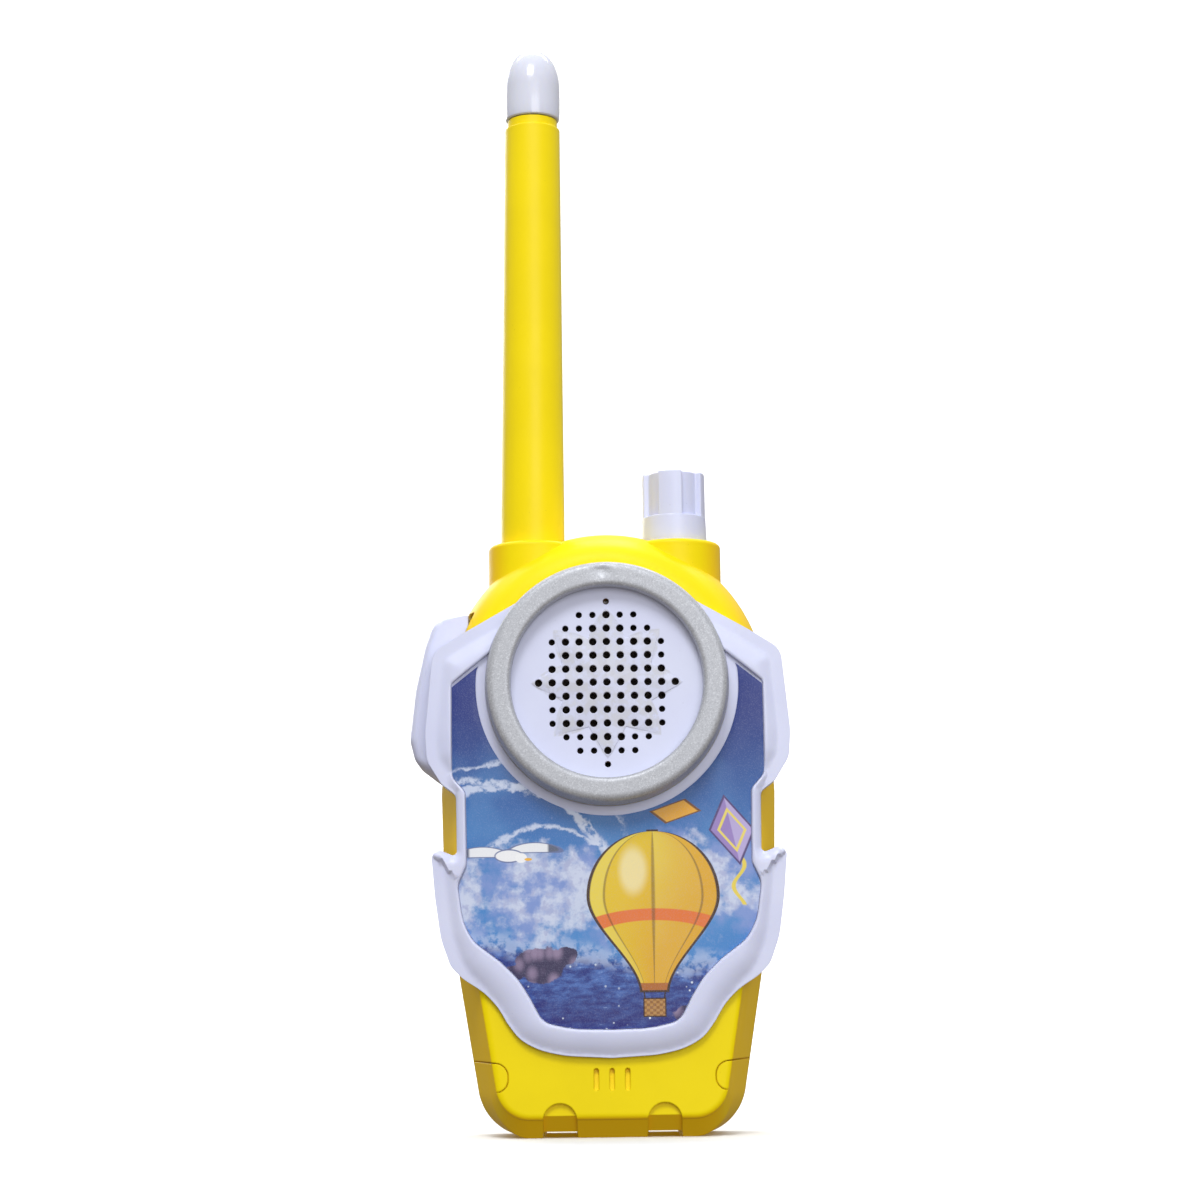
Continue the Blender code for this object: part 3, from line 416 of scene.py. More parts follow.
def printed_picture():
    """A made-up sky: clouds, sea, rocks, a striped hot-air balloon, a kite, a glider and a gull."""
    g = Graph("printed_picture")
    x, y, z = g.axes()
    flat = g.point(x * 0.001, 0.0, z * 0.001)
    puffs = g.noise(95, 7, 0.58, flat)
    fine = g.noise(420, 4, 0.6, flat)

    def inside(cx, cz, rx, rz, soft=0.03, wobble=0.0):
        reach = length((x - cx) / rx, (z - cz) / rz)
        if wobble:
            reach = reach + (puffs - 0.5) * wobble + (fine - 0.5) * wobble * 0.4
        return reach.below(1.0, soft)

    def lay(under, colour, share):
        return g.blend(under, (*colour, 1), share)

    sky = g.blend((0.075, 0.25, 0.60, 1), (0.034, 0.052, 0.235, 1), g.spread(z, 44, 86))
    haze = g.noise(60, 3, 0.5, flat).above(0.58, 0.12) * z.below(76, 10)
    sky = lay(sky, (0.13, 0.33, 0.66), haze * 0.40)
    # Cloud banks: bright crowns over lilac shade, thickest low in the sky.
    bank = g.spread(z, 34, 46) * g.spread(z, 50, 64, 1.0, 0.0)
    shade = (puffs + bank * 0.20 - 0.05 - z.above(62, 12) * 0.08).above(0.60, 0.08)
    shifted = g.point(x * 0.001 + 0.0021, 0.0, z * 0.001 - 0.0024)
    crown = (g.noise(120, 6, 0.6, shifted) + bank * 0.17 - z.above(60, 12) * 0.10).above(0.64, 0.07)
    sky = lay(sky, (0.26, 0.34, 0.68), shade * 0.80)
    sky = lay(sky, (0.66, 0.72, 0.88), crown * 0.90)
    sky = lay(sky, (0.30, 0.33, 0.60), crown * fine.below(0.46, 0.08) * 0.55)
    # Wind-torn arcs in the upper left.
    arcs = (
        (-20.5, 47.5, 21.0, 0.75, 0.42),
        (-24.0, 42.0, 27.5, 0.55, 0.45),
        (-12.0, 43.0, 17.0, 0.45, 0.44),
        (-19.0, 49.0, 24.5, 0.3, 0.48),
    )
    for cx, cz, radius, width, low in arcs:
        torn = length(x - cx, z - cz) + (fine - 0.5) * 2.6 + (puffs - 0.5) * 7.0 - radius
        line = abs(torn).below(width, 0.35) * g.spread(x, 0, 6, 1.0, 0.0) * z.above(54, 4)
        sky = lay(sky, (0.66, 0.73, 0.90), line * fine.above(low, 0.08) * 0.85)
    # Sea with a ragged, foaming edge, sparkle and deep troughs.
    tide = z + (puffs - 0.5) * 8.0 + (x * 0.12)
    wave = g.noise(260, 5, 0.65, g.point(x * 0.001, 0.0, z * 0.0028))
    sea = g.blend((0.026, 0.040, 0.22, 1), (0.10, 0.20, 0.54, 1), g.spread(wave, 0.36, 0.68))
    sea = lay(sea, (0.035, 0.030, 0.17), z.below(26.5, 4.0) * 0.60)
    sea = lay(sea, (0.40, 0.52, 0.80), wave.above(0.66, 0.04) * 0.8)
    glints = g.cells(560, place=flat).below(0.12, 0.05) * puffs.above(0.50, 0.08)
    sea = lay(sea, (0.85, 0.93, 1.0), glints)
    picture = g.blend(sky, sea, tide.below(34.5, 1.8))
    spray = abs(tide - 35.0).below(2.2, 1.4) * fine.above(0.47, 0.07)
    picture = lay(picture, (0.55, 0.64, 0.86), spray * 0.55)
    # Rocks.
    rocks = (
        (-13.5, 33.5, 5.2, 3.4),
        (-8.6, 35.0, 2.2, 1.8),
        (-19.0, 31.8, 2.4, 1.5),
        (16.8, 23.6, 5.0, 1.9),
    )
    for rock in rocks:
        body = inside(*rock, 0.05, 1.5)
        facet = g.cells(330, place=g.point(x * 0.0013, 0.0, z * 0.001))
        stone = g.blend((0.30, 0.23, 0.36, 1), (0.055, 0.045, 0.105, 1), g.spread(facet, 0.15, 0.75))
        picture = g.blend(picture, stone, body)
    # Gull: body, head, two wings with dark tips.
    for cx, cz, rx, rz in ((-24.9, 55.4, 5.2, 0.95), (-14.6, 56.2, 4.9, 0.9)):
        sag = z + (x - cx) * (x - cx) * 0.022
        wing = length((x - cx) / rx, (sag - cz) / rz)
        tip = (x - cx).above(2.6, 0.3) if cx > -20 else (x - cx).below(-2.6, 0.3)
        feather = g.blend((0.86, 0.88, 0.92, 1), (0.13, 0.15, 0.22, 1), tip)
        picture = g.blend(picture, (0.16, 0.20, 0.38, 1), wing.below(1.16, 0.05))
        picture = g.blend(picture, feather, wing.below(0.97, 0.06))
    for colour, *blob in (
        ((0.16, 0.20, 0.38), -19.7, 54.6, 2.85, 1.35, 0.06),
        ((0.90, 0.91, 0.94), -19.7, 54.6, 2.6, 1.1, 0.06),
        ((0.93, 0.94, 0.96), -17.3, 54.2, 1.15, 0.95, 0.08),
        ((0.90, 0.48, 0.05), -15.9, 53.9, 0.75, 0.28, 0.1),
    ):
        picture = lay(picture, colour, inside(*blob))
    # Kite at the right: two lilac halves, a dark spine and a ribbon tail.
    kite_x = x - 24.0 + (z - 60.0) * 0.22
    kite = abs(kite_x) / 4.2 + abs(z - 60.0 + 0.8) / 6.4
    halves = g.blend((0.34, 0.24, 0.56, 1), (0.50, 0.42, 0.72, 1), kite_x.above(0.0, 0.1))
    ribbon = abs(x - 25.4 - (sine(z * 0.75)) * 1.1).below(0.42, 0.12)
    ribbon = ribbon * z.above(44.5, 0.2) * z.below(54.0, 0.2)
    picture = lay(picture, (0.83, 0.66, 0.10), ribbon)
    picture = lay(picture, (0.10, 0.07, 0.20), kite.below(1.09, 0.02))
    picture = g.blend(picture, halves, kite.below(0.98, 0.03))
    trim = abs(kite - 0.62).below(0.07, 0.02) * kite.below(1.0, 0.02)
    picture = lay(picture, (0.85, 0.70, 0.16), trim)
    # A small orange glider beside the speaker.
    glide = abs(x - 13.5 - (z - 63.5) * 0.8) / 4.6 + abs(z - 63.0) / 2.2
    picture = lay(picture, (0.20, 0.09, 0.03), glide.below(1.12, 0.03))
    picture = lay(picture, (0.83, 0.42, 0.05), glide.below(0.96, 0.04))
    # Hot-air balloon: gores, shaded side, seams, skirt, ropes and basket.
    bx = x - 8.5
    bz = z - 46.5
    wide = g.spread(z, 27.5, 46.5, 2.4, 12.6)
    dome = (bz * bz * -1.0 + 158.8).with_("MAXIMUM", 0.5).with_("SQRT")
    top = bz.above(0.0, 0.01)
    half = wide * (top * -1.0 + 1.0) + dome * top
    across = (bx / half).with_("MINIMUM", 1.0).with_("MAXIMUM", -1.0)
    turn = across.with_("ARCSINE") * 3.6
    gore = sine(turn).above(0.0, 0.12)
    seam = abs(sine(turn)).below(0.10, 0.06)
    body = abs(across).below(0.985, 0.012) * z.above(28.2, 0.08) * bz.below(12.58, 0.05)
    rim = (abs(bx) - half).below(0.45, 0.06) * z.above(27.8, 0.08) * bz.below(12.95, 0.05)
    cloth = g.blend((0.80, 0.56, 0.030, 1), (0.83, 0.66, 0.09, 1), gore)
    lit = g.spread(across + bz * -0.045, -0.9, 0.9)
    cloth = lay(cloth, (0.74, 0.36, 0.03), lit * 0.75)
    band = abs(bz + 3.6 + across * across * 1.6).below(1.15, 0.10)
    cloth = lay(cloth, (0.80, 0.20, 0.05), band)
    cloth = lay(cloth, (0.16, 0.09, 0.03), seam * 0.6)
    cloth = lay(cloth, (0.98, 0.93, 0.62), inside(4.6, 51.5, 2.6, 4.4, 0.35) * 0.55)
    cloth = lay(cloth, (0.46, 0.16, 0.04), z.below(29.6, 0.08))
    ropes = abs((abs(bx) - (z - 23.0) * 0.10) - 1.55).below(0.14, 0.05)
    ropes = ropes * z.above(26.6, 0.1) * z.below(28.3, 0.1)
    picture = lay(picture, (0.05, 0.03, 0.03), ropes)
    picture = lay(picture, (0.07, 0.04, 0.03), rim)
    picture = g.blend(picture, cloth, body)
    weave = (sine(x * 5.0) * sine(z * 6.0)).above(0.0, 0.3)
    basket = g.blend((0.32, 0.15, 0.05, 1), (0.50, 0.27, 0.09, 1), weave)
    aside = abs(bx)
    off = abs(z - 24.9)
    picture = lay(picture, (0.06, 0.03, 0.02), aside.below(2.25, 0.06) * off.below(1.85, 0.06))
    picture = g.blend(picture, basket, aside.below(2.0, 0.06) * off.below(1.6, 0.06))
    # The print's own texture: faint ink grain under a gloss film.
    ink = g.noise(5200, 2, 0.6)
    picture = lay(picture, (0.50, 0.54, 0.75), ink.above(0.58, 0.08) * 0.10)
    g.feed("Base Color", picture)
    g.feed("Roughness", g.spread(g.noise(200, 4), 0.3, 0.7, 0.30, 0.42))
    g.bump(g.noise(1400, 3), 0.000006, 0.6)
    g.bump(g.noise(60, 2), 0.00008, 0.25)
    g.put("Specular IOR Level", 0.28)
    return g.material


# ---------------------------------------------------------------- mesh helpers, all in millimetres
def add(name, points, faces):
    """A mesh object from millimetre points, hidden until dressed."""
    mesh = bpy.data.meshes.new(name)
    mesh.from_pydata([(x / 1000, y / 1000, z / 1000) for x, y, z in points], [], faces)
    shape = bmesh.new()
    shape.from_mesh(mesh)
    bmesh.ops.recalc_face_normals(shape, faces=shape.faces)
    shape.to_mesh(mesh)
    shape.free()
    obj = bpy.data.objects.new(name, mesh)
    scene.collection.objects.link(obj)
    obj.hide_render = True
    return obj


def combine(obj, other, operation, solver="EXACT"):
    modifier = obj.modifiers.new(other.name, "BOOLEAN")
    modifier.operation = operation
    modifier.solver = solver
    modifier.object = other


def cut(obj, other):
    combine(obj, other, "DIFFERENCE")


def fuse(obj, other):
    combine(obj, other, "UNION")


def carve(obj, name, shape):
    """Cuts with the manifold solver, which leaves these shapes closed where the exact one doesn't."""
    combine(obj, add(name, *shape), "DIFFERENCE", "MANIFOLD")


def bevel(obj, width):
    modifier = obj.modifiers.new("rounding", "BEVEL")
    modifier.width = width / 1000
    modifier.segments = 3
    modifier.limit_method = "ANGLE"
    modifier.angle_limit = math.radians(40)
    modifier.harden_normals = False


def dress(obj, material, body, slot, *nodes, angle=32):
    """Bakes a piece's modifiers, shades it smooth but for its edges, and places it in the frame."""
    graph = bpy.context.evaluated_depsgraph_get()
    mesh = bpy.data.meshes.new_from_object(obj.evaluated_get(graph))
    helpers = [m.object for m in obj.modifiers if m.type == "BOOLEAN"]
    obj.modifiers.clear()
    obj.data = mesh
    mesh.materials.clear()
    mesh.materials.append(material)
    mesh.shade_smooth()
    mesh.set_sharp_from_angle(angle=math.radians(angle))
    for helper in helpers:
        bpy.data.objects.remove(helper)
    weighted = obj.modifiers.new("even_shading", "WEIGHTED_NORMAL")
    weighted.keep_sharp = True
    weighted.weight = 60
    obj.hide_render = False
    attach(obj, body)
    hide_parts(*nodes)


def loft(rings):
    count = len(rings[0])
    points = [p for ring in rings for p in ring]
    faces = []
    for level in range(len(rings) - 1):
        for i in range(count):
            j = (i + 1) % count
            a = level * count
            b = a + count
            faces.append((a + i, a + j, b + j, b + i))
    faces.append(tuple(range(count)))
    last = (len(rings) - 1) * count
    faces.append(tuple(last + i for i in reversed(range(count))))
    return points, faces


def lathe(profile, axis, centre, steps, lean=0.0):
    points = []
    rows = []
    for radius, height in profile:
        around = 1 if radius == 0 else steps
        rows.append((len(points), around))
        for i in range(around):
            turn = 2 * math.pi * (i + 0.5) / steps
            u = radius * math.cos(turn)
            v = radius * math.sin(turn)
            if axis == "Z":
                points.append((centre[0] + u + lean * height, centre[1] + v, height))
            elif axis == "Y":
                points.append((centre[0] + u, height, centre[1] + v))
            else:
                points.append((height, centre[0] + u, centre[1] + v))
    faces = []
    pairs = list(zip(rows, rows[1:]))
    if rows[0][1] > 1:
        pairs.append((rows[-1], rows[0]))
    for (a, an), (b, bn) in pairs:
        for i in range(steps):
            j = (i + 1) % steps
            if an == 1 and bn > 1:
                faces.append((a, b + i, b + j))
            elif bn == 1 and an > 1:
                faces.append((a + i, a + j, b))
            elif an > 1:
                faces.append((a + i, a + j, b + j, b + i))
    return points, faces


def rod(radius, low, high):
    return [(0, low), (radius, low), (radius, high), (0, high)]


def box(x0, x1, y0, y1, z0, z1):
    ring = [(x0, y0), (x1, y0), (x1, y1), (x0, y1)]
    return loft([[(x, y, z) for x, y in ring] for z in (z0, z1)])


def prism(outline, y0, y1):
    return loft([[(x, y, z) for x, z in outline] for y in (y0, y1)])


def side_prism(outline, x0, x1):
    return loft([[(x, y, z) for y, z in outline] for x in (x0, x1)])


def many(*shapes):
    points = []
    faces = []
    for more, sides in shapes:
        start = len(points)
        points += more
        faces += [tuple(start + i for i in side) for side in sides]
    return points, faces


def rounded(corners, step=5):
    """A closed outline whose corners (x, z, radius) are rounded with an edge every few degrees."""
    outline = []
    for k, (x, z, radius) in enumerate(corners):
        here = Vector((x, z))
        before = Vector(corners[k - 1][:2]) - here
        after = Vector(corners[(k + 1) % len(corners)][:2]) - here
        half = before.angle(after) / 2
        if radius == 0 or half > 1.5:
            outline.append((x, z))
            continue
        reach = min(radius / math.tan(half), 0.48 * before.length, 0.48 * after.length)
        radius = reach * math.tan(half)
        start = here + before.normalized() * reach
        end = here + after.normalized() * reach
        inward = (before.normalized() + after.normalized()).normalized()
        middle = here + inward * (radius / math.sin(half))
        total = math.pi - 2 * half
        parts = max(1, round(math.degrees(total) / step))
        a = start - middle
        sign = 1 if a.x * (end - middle).y - a.y * (end - middle).x > 0 else -1
        for i in range(parts + 1):
            turn = sign * total * i / parts
            u = a.x * math.cos(turn) - a.y * math.sin(turn)
            v = a.x * math.sin(turn) + a.y * math.cos(turn)
            outline.append((middle.x + u, middle.y + v))
    return outline


def mirrored(half):
    left = [(-x, z, *rest) for x, z, *rest in reversed(half) if x > 0.01]
    return half + left


def normals(outline):
    found = []
    for k in range(len(outline)):
        along = (Vector(outline[(k + 1) % len(outline)]) - Vector(outline[k - 1])).normalized()
        found.append((along.y, -along.x))
    return found


def shrunk(outline, by):
    return [(x - nx * by, z - nz * by) for (x, z), (nx, nz) in zip(outline, normals(outline))]


def even(outline, longest):
    """The same outline with long sides divided."""
    made = []
    for k, here in enumerate(outline):
        after = outline[(k + 1) % len(outline)]
        gap = math.hypot(after[0] - here[0], after[1] - here[1])
        parts = max(1, math.ceil(gap / longest))
        for i in range(parts):
            made.append(tuple(a + (b - a) * i / parts for a, b in zip(here, after)))
    return made


def on_circle(x, z, radius, degrees):
    turns = [math.radians(turn) for turn in degrees]
    return [(x + radius * math.cos(turn), z + radius * math.sin(turn)) for turn in turns]


def smooth(low, high, value):
    t = np.clip((value - low) / (high - low), 0, 1)
    return t * t * (3 - 2 * t)


def arc(part):
    """How far a quarter circle has dropped at this share of its width."""
    return 1 - math.sqrt(max(0.0, 1 - min(max(part, 0), 1) ** 2))


# ---------------------------------------------------------------- outlines (x, z), as in the frame
CASE_HALF = [
    (0, 0, 0),
    (25.1, 0, 10.6),
    (30.2, 31, 60),
    (33.4, 56, 40),
    (33.7, 68, 40),
    (33.1, 80, 60),
]
CASE = rounded(mirrored(CASE_HALF + [(32.4, 88.4, 0)]), 4)
CASE_LOW = [p for p in CASE if p[1] < 88.3]
CASE_RIGHT = [p for p in CASE_LOW if p[0] > -0.001]
CASE_LEFT = [p for p in CASE_LOW if p[0] < -0.001]
CROWN = on_circle(0, SPEAKER_Z, DISC_R, range(0, 181, 2))
CASE_OUTLINE = even(CASE_RIGHT + CROWN + CASE_LEFT, 2.0)
CASE_NORMALS = normals(CASE_OUTLINE)

BEZEL_HALF = [
    (0, 15.3, 0),
    (9.0, 15.8, 20),
    (14.0, 16.9, 14),
    (17.9, 19.0, 8),
    (20.3, 22.3, 14),
    (22.0, 25.3, 12),
    (24.7, 28.2, 12),
    (28.8, 30.8, 8),
    (31.2, 33.2, 5),
    (33.1, 38.6, 12),
    (34.2, 46.5, 40),
    (35.1, 56.8, 1.6),
    (29.9, 54.5, 0.8),
    (30.05, 66.8, 2.0),
    (32.9, 68.9, 4),
    (35.8, 73.6, 5),
    (36.15, 79.0, 14),
    (34.6, 95.1, 4.0),
    (28.6, 98.9, 20),
    (12.0, 108.3, 0),
    (0, 108.3, 0),
]
BEZEL_OUTLINE = even(rounded(mirrored(BEZEL_HALF), 6), 1.2)

LABEL_HALF = [
    (0, 20.7, 0),
    (7.5, 20.9, 12),
    (13.3, 22.2, 4),
    (15.7, 26.8, 12),
    (18.0, 30.6, 12),
    (21.6, 34.1, 12),
    (26.8, 38.0, 7),
    (28.8, 41.8, 10),
    (29.8, 49.0, 4),
    (28.0, 52.9, 2.5),
    (28.2, 67.3, 2.0),
    (30.9, 70.3, 3.0),
    (30.9, 88.2, 0.6),
]
LABEL_TOP = (25.6, 92.4)
RECESS_TOP = [(30.7, 88.9, 0.4), (22.0, 95.9, 0), (0, 95.9, 0)]
RECESS_OUTLINE = even(rounded(mirrored(LABEL_HALF + RECESS_TOP), 8), 1.2)

TALK_OUTLINE = rounded(
    [
        (TALK_SIDE_X, 103.9, 0.5),
        (-34.6, 103.1, 3.6),
        (-36.6, 97.5, 10),
        (-38.6, 88.4, 20),
        (-39.7, 78.6, 4),
        (-38.6, 74.0, 4),
        (-33.6, 70.2, 1.5),
        (TALK_SIDE_X, 70.2, 0.5),
    ],
    6,
)


# ---------------------------------------------------------------- the case
def side_in(y):
    if y <= -17.2:
        return 3.9 + 1.4 * arc((-17.2 - y) / 0.8)
    if y <= PARTING_Y:
        return 3.9 * (PARTING_Y - y) / 12.2
    return 0.4 * smooth(-5, 6, y) + 2.9 * arc((y - 6) / 7)


def bottom_in(y):
    if y <= -17.2:
        return 3.5 + 1.3 * arc((-17.2 - y) / 0.8)
    if y <= -13.6:
        return 3.5 * (-13.6 - y) / 3.6
    return 3.2 * arc((y - 9.5) / 3.5)


def dome(y):
    return 7.8 * arc((PARTING_Y - y) / 12.6)


def case_ring(y, shrink):
    ring = []
    side = side_in(y)
    bottom = bottom_in(y)
    for (x, z), (nx, nz) in zip(CASE_OUTLINE, CASE_NORMALS):
        top = smooth(72, 90, z) if y < PARTING_Y else 0
        inward = side * (1 - top) + dome(y) * top
        down = bottom if nz < 0 and z < 40 else inward
        ring.append((x - nx * (inward + shrink), y, z - nz * (down + shrink)))
    return ring


def levels_of(kind):
    if kind == "front":
        found = [-5.05, *range(-6, -14, -1), -13.6, -14.2, -15, -15.8, -16.4, -16.9, -17.2, -17.6]
        found += [-5 - 12.6 * math.sin(math.radians(t)) for t in (62, 66, 70, 74, 78, 82)]
        found += [-17.2 - 0.8 * math.sin(math.radians(t)) for t in (12, 25, 40, 55, 70, 90)]
        return sorted(set(round(v, 3) for v in found), reverse=True)
    found = [-4.95, 0, 4, 6]
    found += [6 + 7 * math.sin(math.radians(t)) for t in (15, 25, 35, 45, 54, 62, 70, 78, 84, 90)]
    return found


def case_solid(shrink, front, rear):
    between = (-17.2, -15.4, -13.6, -11.5, -9, -5, 6, 9.5, 11.5, 12.5)
    inside = [y for y in between if front + 0.15 < y < rear - 0.15]
    return loft([case_ring(y, shrink) for y in [front, *inside, rear]])


def boss(x):
    rim = []
    for t in range(7):
        turn = math.radians(15 * t)
        inward = BOSS_EDGE * (1 - math.cos(turn))
        rim.append((BOSS_R - inward, BOSS_TOP - BOSS_EDGE * (1 - math.sin(turn))))
    return lathe([(0, 98), (BOSS_R, 98), *rim, (0, BOSS_TOP)], "Z", (x, PARTING_Y), 96)


def add_bosses(obj, side, beyond):
    """The aerial's and the knob's bosses, hollow, with what lies beyond the parting cut away."""
    places = (AERIAL_X, KNOB_X)
    fuse(obj, add(f"{side}_bosses", *many(*[boss(x) for x in places])))
    hollow = rod(BOSS_R - 2, 99, BOSS_TOP - 2)
    hollows = [lathe(hollow, "Z", (x, PARTING_Y), 32) for x in places]
    cut(obj, add(f"{side}_spaces", *many(*hollows, beyond)))


def pegs(places, radius, low, high, steps):
    return [lathe(rod(radius, low, high), "Y", place, steps) for place in places]


CASE_SCREWS = [(-22.8, 100.2), (22.8, 100.2), (-20.3, 13.5), (20.3, 13.5)]
BOARD_SCREWS = [(-16.7, 57.0), (16.7, 57.0)]
DOOR_SCREWS = [(-11.0, 64.9), (11.0, 64.9)]
BRACKET_SCREWS = [(0.0, 93.6), (0.0, 109.4)]
CLAMP_SCREWS = on_circle(0, SPEAKER_Z, 21.2, (90, 210, 330))


def cup(outer, inner):
    """Half a case with its wall, made whole: in along the inside, out along the outside."""
    return loft([case_ring(y, WALL) for y in inner] + [case_ring(y, 0) for y in outer])


def top_holes(obj):
    """The aerial's and the knob's seats in the bosses, and the talk bar's slot in the flank."""
    aerial = lathe(rod(6.7, 110, 125), "Z", (AERIAL_X - 0.35, PARTING_Y), 64)
    seat = [(0, 110), (3.7, 110), (3.7, BOSS_TOP - 0.05), (6.85, BOSS_TOP - 0.05)]
    seat += [(7.0, BOSS_TOP + 0.1), (7.0, 126), (0, 126)]
    knob = lathe(seat, "Z", (KNOB_X, PARTING_Y), 96)
    carve(obj, f"{obj.name}_top_holes", many(aerial, knob))
    slot = box(-50, TALK_SIDE_X + TALK_TRAVEL + 0.3, -12.7, 3.4, 69.8, 104.3)
    carve(obj, f"{obj.name}_talk_slot", slot)


def arch(x):
    top = on_circle(x, 3.45, 3.3, range(0, 181, 6))
    return [(x - 3.6, -2), (x + 3.6, -2), (x + 3.3, 1.6)] + top + [(x - 3.3, 1.6)]


def mic_slot(x):
    """A slim slot with round ends, deeper towards its top."""
    low = 9.0
    high = 13.35
    outline = on_circle(x, high - 0.5, 0.5, range(0, 181, 20))
    outline += on_circle(x, low + 0.5, 0.5, range(180, 361, 20))
    floor = [(px, -17.62 + 0.55 * float(smooth(low, high, pz)), pz) for px, pz in outline]
    return loft([[(px, -22, pz) for px, pz in outline], floor])


def tab_groove(side):
    """A fine groove round the tongue on the flank, in along its top and back along its foot."""
    corners = [(32, 15.0, 0), (25.4, 14.75, 3), (20.2, 14.3, 2.6)]
    corners += [(20.2, 9.0, 2.6), (25.0, 8.85, 3), (32, 8.4, 0)]
    line = rounded(corners, 10)
    rings = []
    for k, here in enumerate(line):
        after = Vector(line[min(k + 1, len(line) - 1)])
        along = (after - Vector(line[max(k - 1, 0)])).normalized()
        ring = []
        for across, floor in ((-0.22, None), (0.22, None), (0.1, 0.0), (-0.1, 0.0)):
            x = here[0] - along.y * across
            z = here[1] + along.x * across
            flank = 2.95 * max(0, x - 22.9)
            ring.append((side * x, -30 if floor is None else -17.45 + flank, z))
        rings.append(ring)
    return loft(rings)


def foot_notches(obj):
    """The two arches carry on under the base as shallow notches."""
    notches = [box(x - 3.2, x + 3.2, -30, 30, -2, FOOT_NOTCH_TOP) for x in (-10.2, 10.2)]
    carve(obj, f"{obj.name}_notches", many(*notches))


def make_front_case():
    obj = add("case_front", *cup(levels_of("front"), (-16, -13.6, -11.5, -9, -5.05)))
    add_bosses(obj, "front", box(-60, 60, PARTING_Y - 0.05, 60, 90, 160))
    arches = add("front_arches", *many(*[prism(arch(x), -30, -5.5) for x in (-10.2, 10.2)]))
    cut(arches, add("arch_floor", *case_solid(0.9, FRONT_Y + 0.9, REAR_Y - 3)))
    cut(obj, arches)
    slots = many(mic_slot(-3.05), mic_slot(0), mic_slot(3.05), tab_groove(-1), tab_groove(1))
    cut(obj, add("front_slots", *slots))
    fuse(obj, add("front_seat", *lathe(rod(24.3, -19.1, -16.5), "Y", (0, SPEAKER_Z), 120)))
    posts = pegs(CASE_SCREWS, 2.8, -15.4, PARTING_Y - 0.1, 20)
    posts += pegs(BOARD_SCREWS, 2.4, -17, -11.6, 20)
    fuse(obj, add("front_posts", *many(*posts)))
    bore = [(0, -20), (17.2, -20), (17.2, -18.2), (19.6, -18.2), (19.6, -10), (0, -10)]
    pilots = pegs(CASE_SCREWS, 1.4, -13, 0, 12)
    pilots += pegs(BOARD_SCREWS, 1.15, -15.5, 0, 12)
    pilots += pegs(CLAMP_SCREWS, 1.05, -18.0, 0, 12)
    cut(obj, add("front_bores", *many(lathe(bore, "Y", (0, SPEAKER_Z), 48), *pilots)))
    top_holes(obj)
    foot_notches(obj)
    return obj


def make_rear_case():
    obj = add("case_rear", *cup(levels_of("rear"), (11, 9.5, 6, -4.95)))
    add_bosses(obj, "rear", box(-60, 60, -60, PARTING_Y + 0.05, 90, 160))
    fuse(obj, add("bay_block", *box(-15.6, 15.6, -8.1, 12.0, 5.4, 61.6)))
    fuse(obj, add("bay_ledge", *box(-19.2, 19.2, 9.2, 12.0, 3.4, 70.0)))
    posts = pegs(CASE_SCREWS, 4.3, PARTING_Y + 0.1, 12.0, 24)
    posts += pegs(DOOR_SCREWS, 3.2, 3.0, 10.5, 20)
    posts += pegs(BRACKET_SCREWS, 3.2, 4.5, 12.0, 20)
    fuse(obj, add("rear_posts", *many(*posts)))
    cut(obj, add("bay_space", *box(-14, 14, -6.5, 30, 7.0, 60.0)))
    rebate = rounded([(-16.1, 5.3, 2.2), (16.1, 5.3, 2.2), (16.1, 68.6, 2.2), (-16.1, 68.6, 2.2)], 10)
    cut(obj, add("door_rebate", *prism(rebate, 11.25, 30)))
    cut(obj, add("lead_notch", *box(-5.5, 5.5, -5.6, -1.5, 58, 66)))
    well = [(0, 4.0), (2.9, 4.0), (2.9, 12.6), (3.4, 13.1), (3.4, 30), (0, 30)]
    cut(obj, add("rear_wells", *many(*[lathe(well, "Y", p, 40) for p in CASE_SCREWS])))
    pilots = pegs(CASE_SCREWS, 1.6, -20, 6.0, 16)
    pilots += pegs(DOOR_SCREWS, 1.2, 5.0, 12.0, 16)
    pilots += pegs(BRACKET_SCREWS, 1.2, 6.5, 14.0, 16)
    cut(obj, add("rear_pilots", *many(*pilots)))
    top_holes(obj)
    foot_notches(obj)
    return obj


# ---------------------------------------------------------------- sheets whose depth varies: bezel, picture, grille
def gaps_to(outline, places):
    """Distance from each place to a closed outline, and the z of the nearest point on it."""
    a = np.array(outline, float)
    b = np.roll(a, -1, axis=0)
    along = b - a
    size = np.maximum((along**2).sum(1), 1e-12)
    best = np.full(len(places), 1e9)
    edge_z = np.zeros(len(places))
    for start, way, square in zip(a, along, size):
        t = np.clip(((places - start) @ way) / square, 0, 1)
        near = start + t[:, None] * way
        gap = np.hypot(*(places - near).T)
        closer = gap < best
        best[closer] = gap[closer]
        edge_z[closer] = near[closer, 1]
    return best, edge_z


def within(outline, places):
    a = np.array(outline, float)
    b = np.roll(a, -1, axis=0)
    inside = np.zeros(len(places), bool)
    x, z = places.T
    for (x0, z0), (x1, z1) in zip(a, b):
        if z0 == z1:
            continue
        crosses = (z0 > z) != (z1 > z)
        at = (x1 - x0) * (z - z0) / (z1 - z0) + x0
        inside ^= crosses & (x < at)
    return inside


